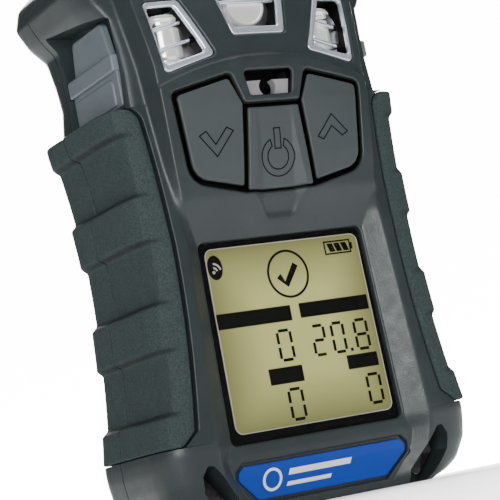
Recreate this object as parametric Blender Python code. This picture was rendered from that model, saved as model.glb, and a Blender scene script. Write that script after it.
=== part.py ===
"""Portable multi-gas detector with a sprung belt clip.

The frame is X to the right, Y to the back and Z up. The origin is the middle of the bottom face.
Every length below is in millimetres and is turned into metres where a mesh is made.
"""

import math

import bmesh
import bpy
from mathutils import Matrix, Vector

MM = 0.001
GAP = 0.3  # clearance between two pieces that meet

# Overall form. Heights are drawn from a datum under the base, and stand_on_base brings the base to zero.
BASE = 1.3
HEIGHT = 120.0
WAIST_HALF = 33.8  # half width over the grip ribs at the waist
WAIST_Z = 56.0
FLARE = 0.0022  # how fast the sides widen above and below the waist, per millimetre
BUMPER_HALF = 37.2  # half width at the lower corner bumpers
HEAD_HALF = 31.0  # half width beside the sensor ports
CROWN_HALF = 36.6  # half width at the upper bumpers
BACK = 19.0  # depth of the rear face
HEEL = BACK + 5.4  # depth of the upper bumpers
WALL = 2.4

# Display
SCREEN_FACE = -9.3  # depth of the front face round the display
SCREEN_WIDTH = 37.4
SCREEN_HEIGHT = 37.7
SCREEN_LOW = 17.3
WINDOW_THICK = 1.2
PANEL_THICK = 1.4
LIGHT_THICK = 1.5
WINDOW_TOP_HALF = 19.8
WINDOW_FOOT_HALF = 20.8
WINDOW_BORDER = 1.9

# Buttons and horn
BUTTON_GROOVE = 0.8
BUTTON_THICK = 2.0
BUTTON_TRAVEL = 0.6
KEY_OUTER_TOP = (22.7, 86.7)
KEY_INNER_TOP = (8.9, 89.8)
KEY_OUTER_FOOT = (20.9, 68.2)
KEY_ROUND = [0.9, 4.6, 1.5, 1.2, 0.9]  # corner radii of the buttons' opening, from the foot up
POWER_TOP = (6.6, 83.3)
POWER_FOOT = (8.35, 65.3)
HORN_TOP = (5.9, 89.9)
HORN_FOOT = (4.9, 84.6)
HORN_BORE = 1.8

# Sensor ports
PORT_FRAME = 0.9
PORT_DEEP = 2.2
SENSOR_RADIUS = 6.4
SENSOR_INSET = 0.8  # how far the outer sensors stand nearer the middle than their ports
FILTER_RADIUS = 5.2
FILTER_THICK = 0.8
SENSOR_DEEP = 11.0

# Grips
GRIP_LOW = 16.9
GRIP_HIGH = 84.9
GRIP_SEAT = 2.3  # how far the housing is let in under the rubber
GRIP_RIB = 1.9  # how far a rib stands above the rubber between two ribs
RIB_PITCH = 22.0
RIB_TALL = 7.9
RAIL_WIDE = 7.2  # from the groove in front of the rubber out to the rib's side

# Belt clip
CLIP_HALF = 8.5
CLIP_PIVOT_Z = 90.0
CLIP_PIVOT_Y = BACK + 7.0
CLIP_PIN_RADIUS = 1.2
CLIP_SHEET = 1.2
CLIP_JAW_Z = 54.0
CLIP_PAD_Z = 106.0

PARTS = bpy.data.collections.new("portable_gas_detector")
CUTTERS = bpy.data.collections.new("cutters")


# ---------------------------------------------------------------- helpers


def clear_scene():
    for obj in list(bpy.data.objects):
        bpy.data.objects.remove(obj)
    bpy.context.scene.collection.children.link(PARTS)
    bpy.context.scene.collection.children.link(CUTTERS)


def material(name, colour, roughness, metallic=0.0):
    made = bpy.data.materials.new(name)
    made.use_nodes = True
    shader = made.node_tree.nodes["Principled BSDF"]
    shader.inputs["Base Color"].default_value = (*colour, 1.0)
    shader.inputs["Roughness"].default_value = roughness
    shader.inputs["Metallic"].default_value = metallic
    return made


def add(name, mesh, look=None, collection=PARTS):
    """Links a mesh as an object, as a part with a material or as a hidden cutter."""
    obj = bpy.data.objects.new(name, mesh)
    collection.objects.link(obj)
    if look:
        mesh.materials.clear()
        mesh.materials.append(look)
    if collection is CUTTERS:
        obj.hide_render = True
        obj.display_type = "WIRE"
    return obj


def finished(bm, name):
    """Turns a bmesh in millimetres into a mesh in metres, with its faces pointing out."""
    bmesh.ops.recalc_face_normals(bm, faces=bm.faces)
    bmesh.ops.scale(bm, vec=(MM, MM, MM), verts=bm.verts)
    mesh = bpy.data.meshes.new(name)
    bm.to_mesh(mesh)
    bm.free()
    return mesh


def rounded(outline, radii, steps=3):
    """The outline with each corner replaced by an arc, of one radius or of a radius for each corner."""
    points = [Vector(p) for p in outline]
    result = []
    for i, corner in enumerate(points):
        radius = radii[i] if isinstance(radii, list) else radii
        back = (points[i - 1] - corner).normalized()
        ahead = (points[(i + 1) % len(points)] - corner).normalized()
        half = back.angle(ahead) / 2
        reach = radius / math.tan(half)
        centre = corner + (back + ahead).normalized() * radius / math.sin(half)
        first, last = corner + back * reach - centre, corner + ahead * reach - centre
        for k in range(steps + 1):
            arm = first.lerp(last, k / steps).normalized() * radius
            result.append(tuple(centre + arm))
    return result


def grown(outline, by):
    """The outline with every side moved out by this much, or in if it is negative."""
    points = [Vector(p) for p in outline]
    area = sum(a.x * b.y - b.x * a.y for a, b in zip(points, points[1:] + points[:1]))
    turn = 1 if area > 0 else -1
    result = []
    for i, corner in enumerate(points):
        before = (corner - points[i - 1]).normalized()
        after = (points[(i + 1) % len(points)] - corner).normalized()
        out_before = Vector((before.y, -before.x)) * turn
        out_after = Vector((after.y, -after.x)) * turn
        mitre = (out_before + out_after).normalized()
        result.append(tuple(corner + mitre * by / mitre.dot(out_before)))
    return result


def mirrored(outline):
    return [(-x, z) for x, z in reversed(outline)]


def on_plane(point, level, axis):
    """A flat outline's point placed at a level along the axis: XZ for Y, YZ for X and XY for Z."""
    a, b = point
    return {"Y": (a, level, b), "X": (level, a, b), "Z": (a, b, level)}[axis]


def prism(name, outline, low, high, axis="Y", look=None, collection=PARTS, hole=None):
    """A flat outline, with an outline cut from it if given, extruded from low to high."""
    bm = bmesh.new()
    base = [bm.verts.new(on_plane(p, low, axis)) for p in outline]
    if hole:
        inner = [bm.verts.new(on_plane(p, low, axis)) for p in hole]
        edges = [
            bm.edges.new((ring[i - 1], ring[i]))
            for ring in (base, inner)
            for i in range(len(ring))
        ]
        bmesh.ops.triangle_fill(bm, use_beauty=True, use_dissolve=False, edges=edges)
    else:
        bm.faces.new(base)
    raised = bmesh.ops.extrude_face_region(bm, geom=list(bm.faces))
    move = Vector(on_plane((0, 0), high - low, axis))
    moved = [v for v in raised["geom"] if isinstance(v, bmesh.types.BMVert)]
    bmesh.ops.translate(bm, vec=move, verts=moved)
    return add(name, finished(bm, name), look, collection)


def loft(name, rings, look=None, collection=PARTS):
    """A closed solid through rings that have the same number of points."""
    bm = bmesh.new()
    rows = [[bm.verts.new(p) for p in ring] for ring in rings]
    for low, high in zip(rows, rows[1:]):
        for i in range(len(low)):
            bm.faces.new((low[i - 1], low[i], high[i], high[i - 1]))
    bm.faces.new(rows[0])
    bm.faces.new(rows[-1])
    bmesh.ops.triangulate(bm, faces=bm.faces)
    return add(name, finished(bm, name), look, collection)


def box(name, low, high, look=None, collection=PARTS, bevel=0.0):
    bm = bmesh.new()
    size = [b - a for a, b in zip(low, high)]
    middle = [(a + b) / 2 for a, b in zip(low, high)]
    bmesh.ops.create_cube(bm, size=1, matrix=Matrix.Translation(middle) @ Matrix.Diagonal((*size, 1)))
    if bevel:
        bmesh.ops.bevel(bm, geom=bm.edges, offset=bevel, segments=2, affect="EDGES", profile=0.5)
    return add(name, finished(bm, name), look, collection)


TURN = {"X": Matrix.Rotation(math.pi / 2, 4, "Y"), "Y": Matrix.Rotation(-math.pi / 2, 4, "X"), "Z": Matrix()}


def cylinder(name, centre, radius, length, axis="Y", look=None, collection=PARTS, sides=32, top=None):
    """A cylinder, or a cone where the top radius differs, with its middle at the centre."""
    bm = bmesh.new()
    bmesh.ops.create_cone(
        bm, cap_ends=True, segments=sides, depth=length,
        radius1=radius, radius2=radius if top is None else top,
        matrix=Matrix.Translation(centre) @ TURN[axis],
    )
    return add(name, finished(bm, name), look, collection)


def boolean(obj, other, operation):
    modifier = obj.modifiers.new(f"{operation.lower()} {other.name}", "BOOLEAN")
    modifier.operation = operation
    modifier.object = other
    modifier.solver = "EXACT"


def cut(obj, *others):
    for other in others:
        boolean(obj, other, "DIFFERENCE")


def join(obj, *others):
    for other in others:
        boolean(obj, other, "UNION")


def keep(obj, *others):
    for other in others:
        boolean(obj, other, "INTERSECT")


def between(table, z):
    """The value at this height, on straight lines between the (height, value) pairs."""
    if z <= table[0][0]:
        return table[0][1]
    for (z0, v0), (z1, v1) in zip(table, table[1:]):
        if z <= z1:
            return v0 + (v1 - v0) * (z - z0) / (z1 - z0)
    return table[-1][1]


# ---------------------------------------------------------------- form of the body


FACE_TO_TIP = 8.4  # how far the head stands in front of the display's face
TIP = SCREEN_FACE - FACE_TO_TIP
WINDOW_LOW = SCREEN_LOW - 2.2
WINDOW_HIGH = SCREEN_LOW + SCREEN_HEIGHT + 1.5
BROW_Z = KEY_INNER_TOP[1] + 2.9
SHOULDER = HEIGHT - 4.0

# Each station: height, depth of the middle, half width and depth of the face's edge, half width and
# depth of the rail's inner edge, half width of the side, depth of the back and of its heels.
STATIONS = [
    (BASE, SCREEN_FACE + 4.0, 15.6, SCREEN_FACE + 4.2, 20.4, -6.4, BUMPER_HALF - 7.8, BACK - 4.4, BACK - 4.0),
    (2.5, SCREEN_FACE + 2.6, 16.4, SCREEN_FACE + 2.8, 22.0, -8.4, BUMPER_HALF - 5.0, BACK - 2.4, BACK - 2.2),
    (4.7, SCREEN_FACE + 2.3, 17.6, SCREEN_FACE + 2.3, 23.3, -10.0, BUMPER_HALF - 2.4, BACK - 0.8, BACK - 1.1),
    (9.0, SCREEN_FACE + 0.6, 19.6, SCREEN_FACE + 0.6, 24.8, -11.4, BUMPER_HALF - 0.4, BACK, BACK - 0.2),
    (11.5, SCREEN_FACE, 20.8, SCREEN_FACE, 25.4, -12.0, BUMPER_HALF, BACK, BACK + 0.2),
    (WINDOW_LOW, SCREEN_FACE, 21.1, SCREEN_FACE, 25.8, -12.5, BUMPER_HALF, BACK, BACK + 0.4),
    (WINDOW_HIGH, SCREEN_FACE, 20.2, SCREEN_FACE, 23.6, -12.3, None, BACK, BACK + 0.8),
    (WINDOW_HIGH + 3.5, SCREEN_FACE - 1.4, 21.3, SCREEN_FACE - 1.7, 23.8, -12.1, None, BACK, BACK + 1.0),
    (POWER_FOOT[1] - 0.6, SCREEN_FACE - 4.2, 23.2, SCREEN_FACE - 3.6, 24.6, -11.9, None, BACK, BACK + 1.4),
    (72.0, TIP + 2.7, 24.0, TIP + 3.7, 25.4, -11.7, None, BACK, BACK + 2.0),
    (POWER_TOP[1], TIP + 0.9, 24.7, TIP + 2.5, 26.2, -11.4, None, BACK, BACK + 3.2),
    (BROW_Z, TIP, 25.0, TIP + 2.2, 26.6, -11.0, HEAD_HALF, BACK, BACK + 1.8),
    (98.0, TIP + 0.2, 25.6, TIP + 2.7, 27.2, -10.6, HEAD_HALF, BACK, BACK + 2.8),
    (104.0, TIP + 1.0, 26.2, TIP + 3.6, 28.0, -10.0, HEAD_HALF + 0.6, BACK, BACK + 3.8),
    (107.5, TIP + 1.8, 26.4, TIP + 4.4, 28.4, -9.4, CROWN_HALF - 2.2, BACK, HEEL - 0.6),
    (112.0, TIP + 3.4, 26.4, TIP + 5.9, 28.6, -8.4, CROWN_HALF, BACK, HEEL),
    (SHOULDER, TIP + 6.0, 25.6, TIP + 8.0, 27.8, -6.6, CROWN_HALF - 1.0, BACK - 0.2, HEEL - 0.4),
    (HEIGHT - 1.5, TIP + 9.6, 23.6, TIP + 11.2, 25.6, -3.6, CROWN_HALF - 3.6, BACK - 1.2, HEEL - 2.0),
    (HEIGHT, TIP + 13.0, 21.6, TIP + 14.4, 23.4, -0.4, CROWN_HALF - 7.0, BACK - 3.6, HEEL - 5.0),
]
SEAT_LOW = GRIP_LOW - 0.4
SEAT_HIGH = GRIP_HIGH + 0.4
SEAM = [(0.0, BACK - 10.6), (74.0, BACK - 10.6), (GRIP_HIGH, BACK - 8.2), (SEAT_HIGH + 0.6, BACK - 5.1),
        (96.0, BACK - 4.2), (108.0, BACK - 4.0), (HEIGHT, BACK - 4.0)]
HEEL_WIDE = 8.0

REAR_WRAP = 8.0  # how far the rear rubber reaches round onto the back


def column(index):
    return [(row[0], row[index]) for row in STATIONS if row[index] is not None]


def side_half(z):
    """Half width of the rubber's ribs."""
    return WAIST_HALF + FLARE * (z - WAIST_Z) ** 2


def groove_half(z):
    """Half width of the groove between the front rail and the rubber."""
    return side_half(z) - RAIL_WIDE


def face_depth(x, z):
    """Depth of the front face between its two edges."""
    middle, edge = between(column(1), z), between(column(3), z)
    half = between(column(2), z)
    return middle + (edge - middle) * (x / half) ** 2


def seam_depth(z):
    return between(SEAM, z)


def core_half(z):
    """Half width of the housing under the rubber."""
    return side_half(z) - GRIP_RIB - 1.3


def face_points(z):
    half = between(column(2), z)
    return [(half * k / 4, face_depth(half * k / 4, z)) for k in range(5)]


def seated_half(z):
    """Half of the body's section where rubber covers the sides, from the front round to the back."""
    rail, depth = between(column(4), z), between(column(5), z)
    groove, core, wrap = groove_half(z) - 0.35, core_half(z), side_half(z) - REAR_WRAP
    floor = BACK - GRIP_SEAT
    return face_points(z) + [
        (rail, depth), (groove, depth), (groove, depth + GRIP_SEAT), (core - 2.2, depth + GRIP_SEAT + 0.8),
        (core, depth + GRIP_SEAT + 4.0), (core, floor - 4.0), (core - 1.2, floor - 1.2),
        (core - 4.0, floor), (wrap, floor), (wrap, BACK), (0.0, BACK),
    ]


def bare_half(z):
    """Half of the body's section where the hard housing is bare."""
    rail, depth = between(column(4), z), between(column(5), z)
    side, back, heel = between(column(6), z), between(column(7), z), between(column(8), z)
    return face_points(z) + [
        (rail, depth), (rail + 0.5 * (side - rail), depth + 0.4), (rail + 0.72 * (side - rail), depth + 1.2),
        (side - 0.8, depth + 3.2), (side, depth + 6.5), (side, heel - 3.6), (side - 0.9, heel - 1.1),
        (side - 3.4, heel), (side - HEEL_WIDE, heel - 0.2), (side - HEEL_WIDE - 2.4, back), (0.0, back),
    ]


def whole_ring(half, z):
    """Half a section and its mirror image, as one closed ring of points at this height."""
    left = [(-x, y) for x, y in reversed(half[1:-1])]
    return [(x, y, z) for x, y in half + left]


def body_rings():
    heights = [row[0] for row in STATIONS]
    seated = [SEAT_LOW, 20.0, 28.0, 42.0, WINDOW_HIGH, WINDOW_HIGH + 3.5, POWER_FOOT[1] - 0.6, 72.0,
              POWER_TOP[1], SEAT_HIGH]
    rings = [whole_ring(bare_half(z), z) for z in heights if z < SEAT_LOW]
    rings.append(whole_ring(bare_half(SEAT_LOW - 0.2), SEAT_LOW - 0.2))
    rings += [whole_ring(seated_half(z), z) for z in seated]
    rings.append(whole_ring(bare_half(SEAT_HIGH + 0.2), SEAT_HIGH + 0.2))
    rings += [whole_ring(bare_half(z), z) for z in heights if z > SEAT_HIGH + 0.2]
    return rings


def face_slab(name, front, back, low, high, look=None, collection=CUTTERS):
    """A curved slab that follows the front face, from one depth behind the face to another."""
    rings = []
    inside = [row[0] for row in STATIONS if low < row[0] < high]
    for z in [low, *inside, high]:
        half = between(column(2), z) - 0.4
        steps = [half * k / 8 for k in range(-8, 9)]
        rings.append(
            [(x, face_depth(x, z) + front, z) for x in steps]
            + [(x, face_depth(x, z) + back, z) for x in reversed(steps)]
        )
    return loft(name, rings, look, collection)


# ---------------------------------------------------------------- outlines on the front


CAVITY = [(16.0, 9.0), (17.6, 14.0), (25.6, 18.0), (25.6, 82.0), (24.6, 88.0), (24.6, 101.5),
          (17.2, 107.5), (17.2, 115.0)]
HEAD_CAVITY = [(20.6, 63.0), (23.6, 90.0), (23.6, 101.0), (14.0, 112.5)]
WINDOW = [(-WINDOW_FOOT_HALF, WINDOW_LOW), (WINDOW_FOOT_HALF, WINDOW_LOW),
          (WINDOW_TOP_HALF, WINDOW_HIGH), (-WINDOW_TOP_HALF, WINDOW_HIGH)]
LABEL = [(-15.6, 3.9), (15.6, 3.9), (20.2, 8.2), (20.2, 9.6), (19.0, 10.8), (-19.0, 10.8),
         (-20.2, 9.6), (-20.2, 8.2)]
HORN = [(-HORN_FOOT[0], HORN_FOOT[1]), (HORN_FOOT[0], HORN_FOOT[1]),
        (HORN_TOP[0], HORN_TOP[1]), (-HORN_TOP[0], HORN_TOP[1])]
CENTRE_PORT = [(-6.3, 97.6), (6.3, 97.6), (9.4, 111.6), (-9.4, 111.6)]
LEFT_PORT = [(-22.7, 90.6), (-11.0, 93.8), (-16.4, 106.4), (-24.2, 106.4)]
POCKET = [(20.6, -3.0), (24.8, -3.0), (25.6, 1.4), (29.4, 7.0), (29.6, 10.2), (28.4, 12.2), (27.0, 12.0),
          (20.6, 4.0)]
LOWER_LENS = [(21.4, 3.9), (24.2, 2.4), (28.9, 7.2), (28.4, 11.2), (27.0, 11.2)]
UPPER_LENS = [(14.4, 109.0), (22.6, 109.0), (22.0, 114.6), (13.4, 114.6)]


def whole_cavity():
    return CAVITY + mirrored(CAVITY)


def key_cluster():
    """Outline of the opening that the three buttons share."""
    right = [POWER_FOOT, KEY_OUTER_FOOT, KEY_OUTER_TOP, KEY_INNER_TOP, POWER_TOP]
    return rounded(right + mirrored(right), KEY_ROUND + KEY_ROUND[::-1])


def side_key():
    """Outline of the right button."""
    inset = grown([POWER_FOOT, KEY_OUTER_FOOT, KEY_OUTER_TOP, KEY_INNER_TOP, POWER_TOP], -BUTTON_GROOVE)
    shift = BUTTON_GROOVE / 2
    inset[0], inset[4] = (inset[0][0] - shift, inset[0][1]), (inset[4][0] - shift, inset[4][1])
    return rounded(inset, [max(0.5, radius - BUTTON_GROOVE) for radius in KEY_ROUND])


def power_key():
    right = [(POWER_FOOT[0] - BUTTON_GROOVE / 2, POWER_FOOT[1] + BUTTON_GROOVE),
             (POWER_TOP[0] - BUTTON_GROOVE / 2, POWER_TOP[1] - BUTTON_GROOVE)]
    return rounded(right + mirrored(right), 0.7)


# ---------------------------------------------------------------- looks


CHARCOAL = material("charcoal_plastic", (0.055, 0.068, 0.072), 0.45)
RUBBER = material("grip_rubber", (0.045, 0.056, 0.058), 0.75)
KEY_RUBBER = material("button_rubber", (0.065, 0.078, 0.084), 0.6)
BLACK = material("black_plastic", (0.01, 0.01, 0.011), 0.4)
LENS = material("smoked_lens", (0.02, 0.02, 0.024), 0.12)
CLEAR = material("clear_window", (0.75, 0.78, 0.75), 0.05)
LCD = material("lcd_olive", (0.40, 0.39, 0.22), 0.35)
CHROME = material("bright_chrome", (0.85, 0.86, 0.88), 0.12, 1.0)
STEEL = material("stainless_steel", (0.62, 0.62, 0.61), 0.3, 1.0)
GREY = material("grey_plastic", (0.25, 0.28, 0.30), 0.4)
FILTER = material("white_filter", (0.86, 0.86, 0.84), 0.8)
LABEL_BLUE = material("label_blue", (0.01, 0.06, 0.32), 0.35)
BOARD = material("green_board", (0.02, 0.16, 0.07), 0.5)
BATTERY = material("battery_wrap", (0.05, 0.09, 0.22), 0.4)
GOLD = material("gold_contact", (0.83, 0.62, 0.25), 0.25, 1.0)
SEAL = material("seal_rubber", (0.02, 0.02, 0.02), 0.8)


# ---------------------------------------------------------------- housings


def seam_cutter(name, behind):
    """Everything behind the parting line, or everything in front of it, as a prism across the body."""
    side = 1 if behind else -1
    line = [(seam_depth(z) - side * GAP / 2, z) for z in [-5.0] + [p[0] for p in SEAM] + [HEIGHT + 5.0]]
    far = side * 60.0
    outline = line + [(far, HEIGHT + 5.0), (far, -5.0)]
    return prism(name, outline, -60.0, 60.0, "X", None, CUTTERS)


def hollow(shell):
    cavity = prism(f"{shell.name}_cavity", rounded(whole_cavity(), 1.0, 2), SCREEN_FACE + WALL + GAP,
                   BACK - WALL, "Y", None, CUTTERS)
    cut(shell, cavity)


def pocket_cutters():
    made = []
    for side, outline in (("right", POCKET), ("left", mirrored(POCKET))):
        made.append(prism(f"{side}_pocket_cut", rounded(outline, 0.7, 2), -16.0, -2.0, "Y", None, CUTTERS))
    return made


CATCH_LOW = SEAT_HIGH + 0.8
CATCH_HIGH = CATCH_LOW + 21.2
CATCH_FRONT = -9.4
CATCH_BACK = BACK - 6.2
CATCH_DEEP = 2.6


def catch_cutters():
    made = []
    for name, side in (("right", 1), ("left", -1)):
        outline = [(CATCH_FRONT, CATCH_LOW), (CATCH_BACK, CATCH_LOW),
                   (CATCH_BACK, CATCH_HIGH), (CATCH_FRONT, CATCH_HIGH - 2.4)]
        near, far = side * (HEAD_HALF - CATCH_DEEP), side * 44.0
        made.append(prism(f"{name}_catch_cut", rounded(outline, 0.6, 2), min(near, far), max(near, far),
                          "X", None, CUTTERS))
    return made


def lens_cutters():
    made = []
    for side, outline in (("right", UPPER_LENS), ("left", mirrored(UPPER_LENS))):
        slab = face_slab(f"{side}_lens_cut", -3.0, PORT_DEEP, 108.0, 117.0)
        keep(slab, prism(f"{side}_lens_outline", rounded(outline, 1.2), -30.0, 0.0, "Y", None, CUTTERS))
        made.append(slab)
    return made


SCREWS = {"case_screw_1": (-22.6, 11.8), "case_screw_2": (22.6, 11.8),
          "case_screw_3": (-22.6, 110.6), "case_screw_4": (22.6, 110.6)}
SCREW_HEAD = 2.6
SCREW_SHANK = 1.25
SCREW_LONG = 12.0
SCREW_SUNK = 1.0


def front_housing():
    shell = loft("front_housing", body_rings(), CHARCOAL)
    cut(shell, seam_cutter("behind_seam", True))
    hollow(shell)
    head = face_slab("head_cavity", WALL, 20.0, 62.0, 112.0)
    keep(head, prism("head_cavity_sides", rounded(HEAD_CAVITY + mirrored(HEAD_CAVITY), 1.0), -30.0,
                     SCREEN_FACE + WALL + 2.0, "Y", None, CUTTERS))
    cut(shell, head)
    openings = [
        prism("window_cut", rounded(WINDOW, 1.4), -30.0, 0.0, "Y", None, CUTTERS),
        prism("keys_cut", key_cluster(), -30.0, -9.0, "Y", None, CUTTERS),
        prism("horn_cut", rounded(HORN, 0.8), -30.0, -9.0, "Y", None, CUTTERS),
        prism("centre_port_cut", rounded(CENTRE_PORT, 0.9), -30.0, -9.0, "Y", None, CUTTERS),
        prism("left_port_cut", rounded(LEFT_PORT, 0.9), -30.0, -9.0, "Y", None, CUTTERS),
        prism("right_port_cut", rounded(mirrored(LEFT_PORT), 0.9), -30.0, -9.0, "Y", None, CUTTERS),
    ]
    label = face_slab("label_cut", -3.0, 1.0, 2.0, 13.0)
    keep(label, prism("label_outline", grown(LABEL, 0.7), -30.0, 0.0, "Y", None, CUTTERS))
    cut(shell, *openings, label, *pocket_cutters(), *catch_cutters(), *lens_cutters())
    for name, (x, z) in SCREWS.items():
        cut(shell, cylinder(f"{name}_pilot", (x, BACK - SCREW_SUNK - 8.0, z), SCREW_SHANK + GAP, 16.0,
                            "Y", None, CUTTERS, 16))
    return shell


def rear_housing():
    shell = loft("rear_housing", body_rings(), CHARCOAL)
    cut(shell, seam_cutter("before_seam", False))
    hollow(shell)
    for name, (x, z) in SCREWS.items():
        cut(shell,
            cylinder(f"{name}_hole", (x, BACK, z), SCREW_SHANK + GAP, 30.0, "Y", None, CUTTERS, 16),
            cylinder(f"{name}_sink", (x, BACK - SCREW_SUNK - 2.0 + 10.0, z), SCREW_HEAD + GAP, 20.0,
                     "Y", None, CUTTERS, 24))
    for name, (x, z) in CONTACTS.items():
        cut(shell, cylinder(f"{name}_seat", (x, BACK, z), CONTACT_RADIUS + GAP, 1.6, "Y", None, CUTTERS, 20))
    return shell


CONTACTS = {"charge_contact_left": (-6.0, 12.0), "charge_contact_right": (6.0, 12.0)}
CONTACT_RADIUS = 1.8


def charge_contacts():
    for name, (x, z) in CONTACTS.items():
        cylinder(name, (x, BACK - 0.3, z), CONTACT_RADIUS, 0.7, "Y", GOLD, sides=20)


def case_screws():
    for name, (x, z) in SCREWS.items():
        head = cylinder(name, (x, BACK - SCREW_SUNK - 0.9, z), SCREW_HEAD, 1.6, "Y", STEEL, sides=20)
        join(head, cylinder(f"{name}_shank", (x, BACK - SCREW_SUNK - 1.0 - SCREW_LONG / 2, z), SCREW_SHANK,
                            SCREW_LONG, "Y", None, CUTTERS, 12))
        socket = cylinder(f"{name}_socket", (x, BACK - SCREW_SUNK - 0.3, z), 1.2, 1.2, "Y", None, CUTTERS, 6)
        cut(head, socket)


def case_gasket():
    outer = grown(whole_cavity(), -GAP)
    ring = prism("case_gasket", outer, 0.0, 30.0, "Y", SEAL, hole=grown(outer, -1.2))
    heights = [1.0] + [p[0] for p in SEAM if 1.0 < p[0] < 117.0] + [117.0]
    band = [(seam_depth(z) - 1.0, z) for z in heights] + [(seam_depth(z) + 1.0, z) for z in reversed(heights)]
    keep(ring, prism("gasket_band", band, -40.0, 40.0, "X", None, CUTTERS))


# ---------------------------------------------------------------- grips


def rib_rise(z):
    """1 on a rib, 0 between two ribs and a short slope in between."""
    slope = 1.4
    along = (GRIP_HIGH - 4.3 + RIB_TALL - z) % RIB_PITCH
    if along <= RIB_TALL:
        return 1.0
    return max(0.0, 1 - (along - RIB_TALL) / slope, 1 - (RIB_PITCH - along) / slope)


def grip_heights():
    """Heights where the rubber's section changes: the ends, and the foot and crest of every slope."""
    slope = 1.4
    crest_low = GRIP_HIGH - 4.3
    heights = {GRIP_LOW, GRIP_LOW + 1.0, 80.0, GRIP_HIGH - 1.0, GRIP_HIGH}
    for n in range(5):
        low = crest_low - n * RIB_PITCH
        heights |= {low, low - slope, low + RIB_TALL, low + RIB_TALL + slope}
    return sorted(z for z in heights if GRIP_LOW <= z <= GRIP_HIGH)


def end_draft(z):
    """How far the rubber is drawn in at its two ends."""
    return 0.6 if z in (GRIP_LOW, GRIP_HIGH) else 0.0


def front_grip(name, side):
    rings = []
    for z in grip_heights():
        depth, draft = between(column(5), z), end_draft(z)
        rib, groove, core = side_half(z) - draft, groove_half(z) + 0.35, core_half(z) + GAP
        sunk = rib - GRIP_RIB * (1 - rib_rise(z))
        seam = seam_depth(z) - GAP / 2
        ridge = rib - 1.4 - 1.2 * (1 - rib_rise(z))
        outer = [(groove, depth + 0.2), (groove + 1.8, depth + 0.1 + draft), (ridge, depth + 1.3 + draft),
                 (sunk - 0.3, depth + 4.4), (sunk, depth + 6.6), (sunk, seam)]
        inner = [(core, seam), (core, depth + GRIP_SEAT + 4.0), (core - 2.2, depth + GRIP_SEAT + 0.8 - GAP),
                 (groove, depth + GRIP_SEAT - GAP)]
        rings.append([(side * x, y, z) for x, y in outer + inner])
    return loft(name, rings, RUBBER)


def rear_grip(name, side):
    rings = []
    floor = BACK - GRIP_SEAT
    for z in grip_heights():
        draft = end_draft(z)
        rib, core, wrap = side_half(z) - draft, core_half(z) + GAP, side_half(z) - REAR_WRAP + 0.35
        heel = between(column(8), z)
        drop = GRIP_RIB * (1 - rib_rise(z))
        seam = seam_depth(z) + GAP / 2
        back = heel + 0.3 - draft
        outer = [(rib - drop, seam), (rib - drop, back - 3.6), (rib - 0.9 - 0.6 * drop, back - 1.2),
                 (rib - 3.4 - drop * 0.3, back - 0.2 - drop * 0.3), (wrap, BACK - draft)]
        inner = [(wrap, floor + GAP), (core - 4.0, floor + GAP), (core - 1.1, floor - 1.0),
                 (core, floor - 4.0), (core, seam)]
        rings.append([(side * x, y, z) for x, y in outer + inner])
    return loft(name, rings, RUBBER)


def grips():
    for name, side in (("left", -1), ("right", 1)):
        front_grip(f"{name}_front_grip", side)
        rear_grip(f"{name}_rear_grip", side)


# ---------------------------------------------------------------- side catches


def cap_catches():
    """The grey pads beside the head, which the charger and the calibration cap hook onto."""
    floor = HEAD_HALF - CATCH_DEEP + GAP
    front, back = CATCH_FRONT + GAP, CATCH_BACK - GAP
    for name, side in (("left", -1), ("right", 1)):
        block = [(front + 0.4, CATCH_LOW + GAP), (back, CATCH_LOW + GAP), (back, CATCH_LOW + 9.0),
                 (front + 0.4, CATCH_LOW + 9.0)]
        band = [(front, CATCH_LOW + 8.0), (back, CATCH_LOW + 8.0), (back, CATCH_LOW + 11.4),
                (front, CATCH_LOW + 11.4)]
        tongue = [(front + 6.0, CATCH_LOW + 10.0), (back - 1.0, CATCH_LOW + 10.0),
                  (back - 2.6, CATCH_LOW + 18.6), (front + 8.6, CATCH_LOW + 18.6)]
        solids = []
        for kind, outline, tall in (("cap_catch", block, 1.7), ("catch_band", band, 2.7),
                                    ("catch_tongue", rounded(tongue, 1.0, 2), 1.3)):
            low, high = sorted((side * floor, side * (floor + tall)))
            look, collection = (GREY, PARTS) if kind == "cap_catch" else (None, CUTTERS)
            solids.append(prism(f"{name}_{kind}", outline, low, high, "X", look, collection))
        join(*solids)


# ---------------------------------------------------------------- display


def display():
    front = SCREEN_FACE + 0.3
    prism("display_window", rounded(grown(WINDOW, -GAP), 1.1), front, front + WINDOW_THICK, "Y", CLEAR)
    half, low, high = SCREEN_WIDTH / 2, SCREEN_LOW, SCREEN_LOW + SCREEN_HEIGHT
    screen = [(-half, low), (half, low), (half, high), (-half, high)]
    bezel_front, panel_front = front + WINDOW_THICK + GAP, SCREEN_FACE + WALL + GAP
    prism("display_bezel", rounded(grown(WINDOW, -GAP), 1.1), bezel_front, panel_front - GAP, "Y", BLACK,
          hole=rounded(screen, 0.8))
    panel, panel_back = grown(screen, 1.6), panel_front + PANEL_THICK
    prism("lcd_panel", panel, panel_front, panel_back, "Y", LCD)
    prism("lcd_backlight", panel, panel_back + GAP, panel_back + GAP + LIGHT_THICK, "Y", FILTER)


# ---------------------------------------------------------------- buttons and horn


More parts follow.
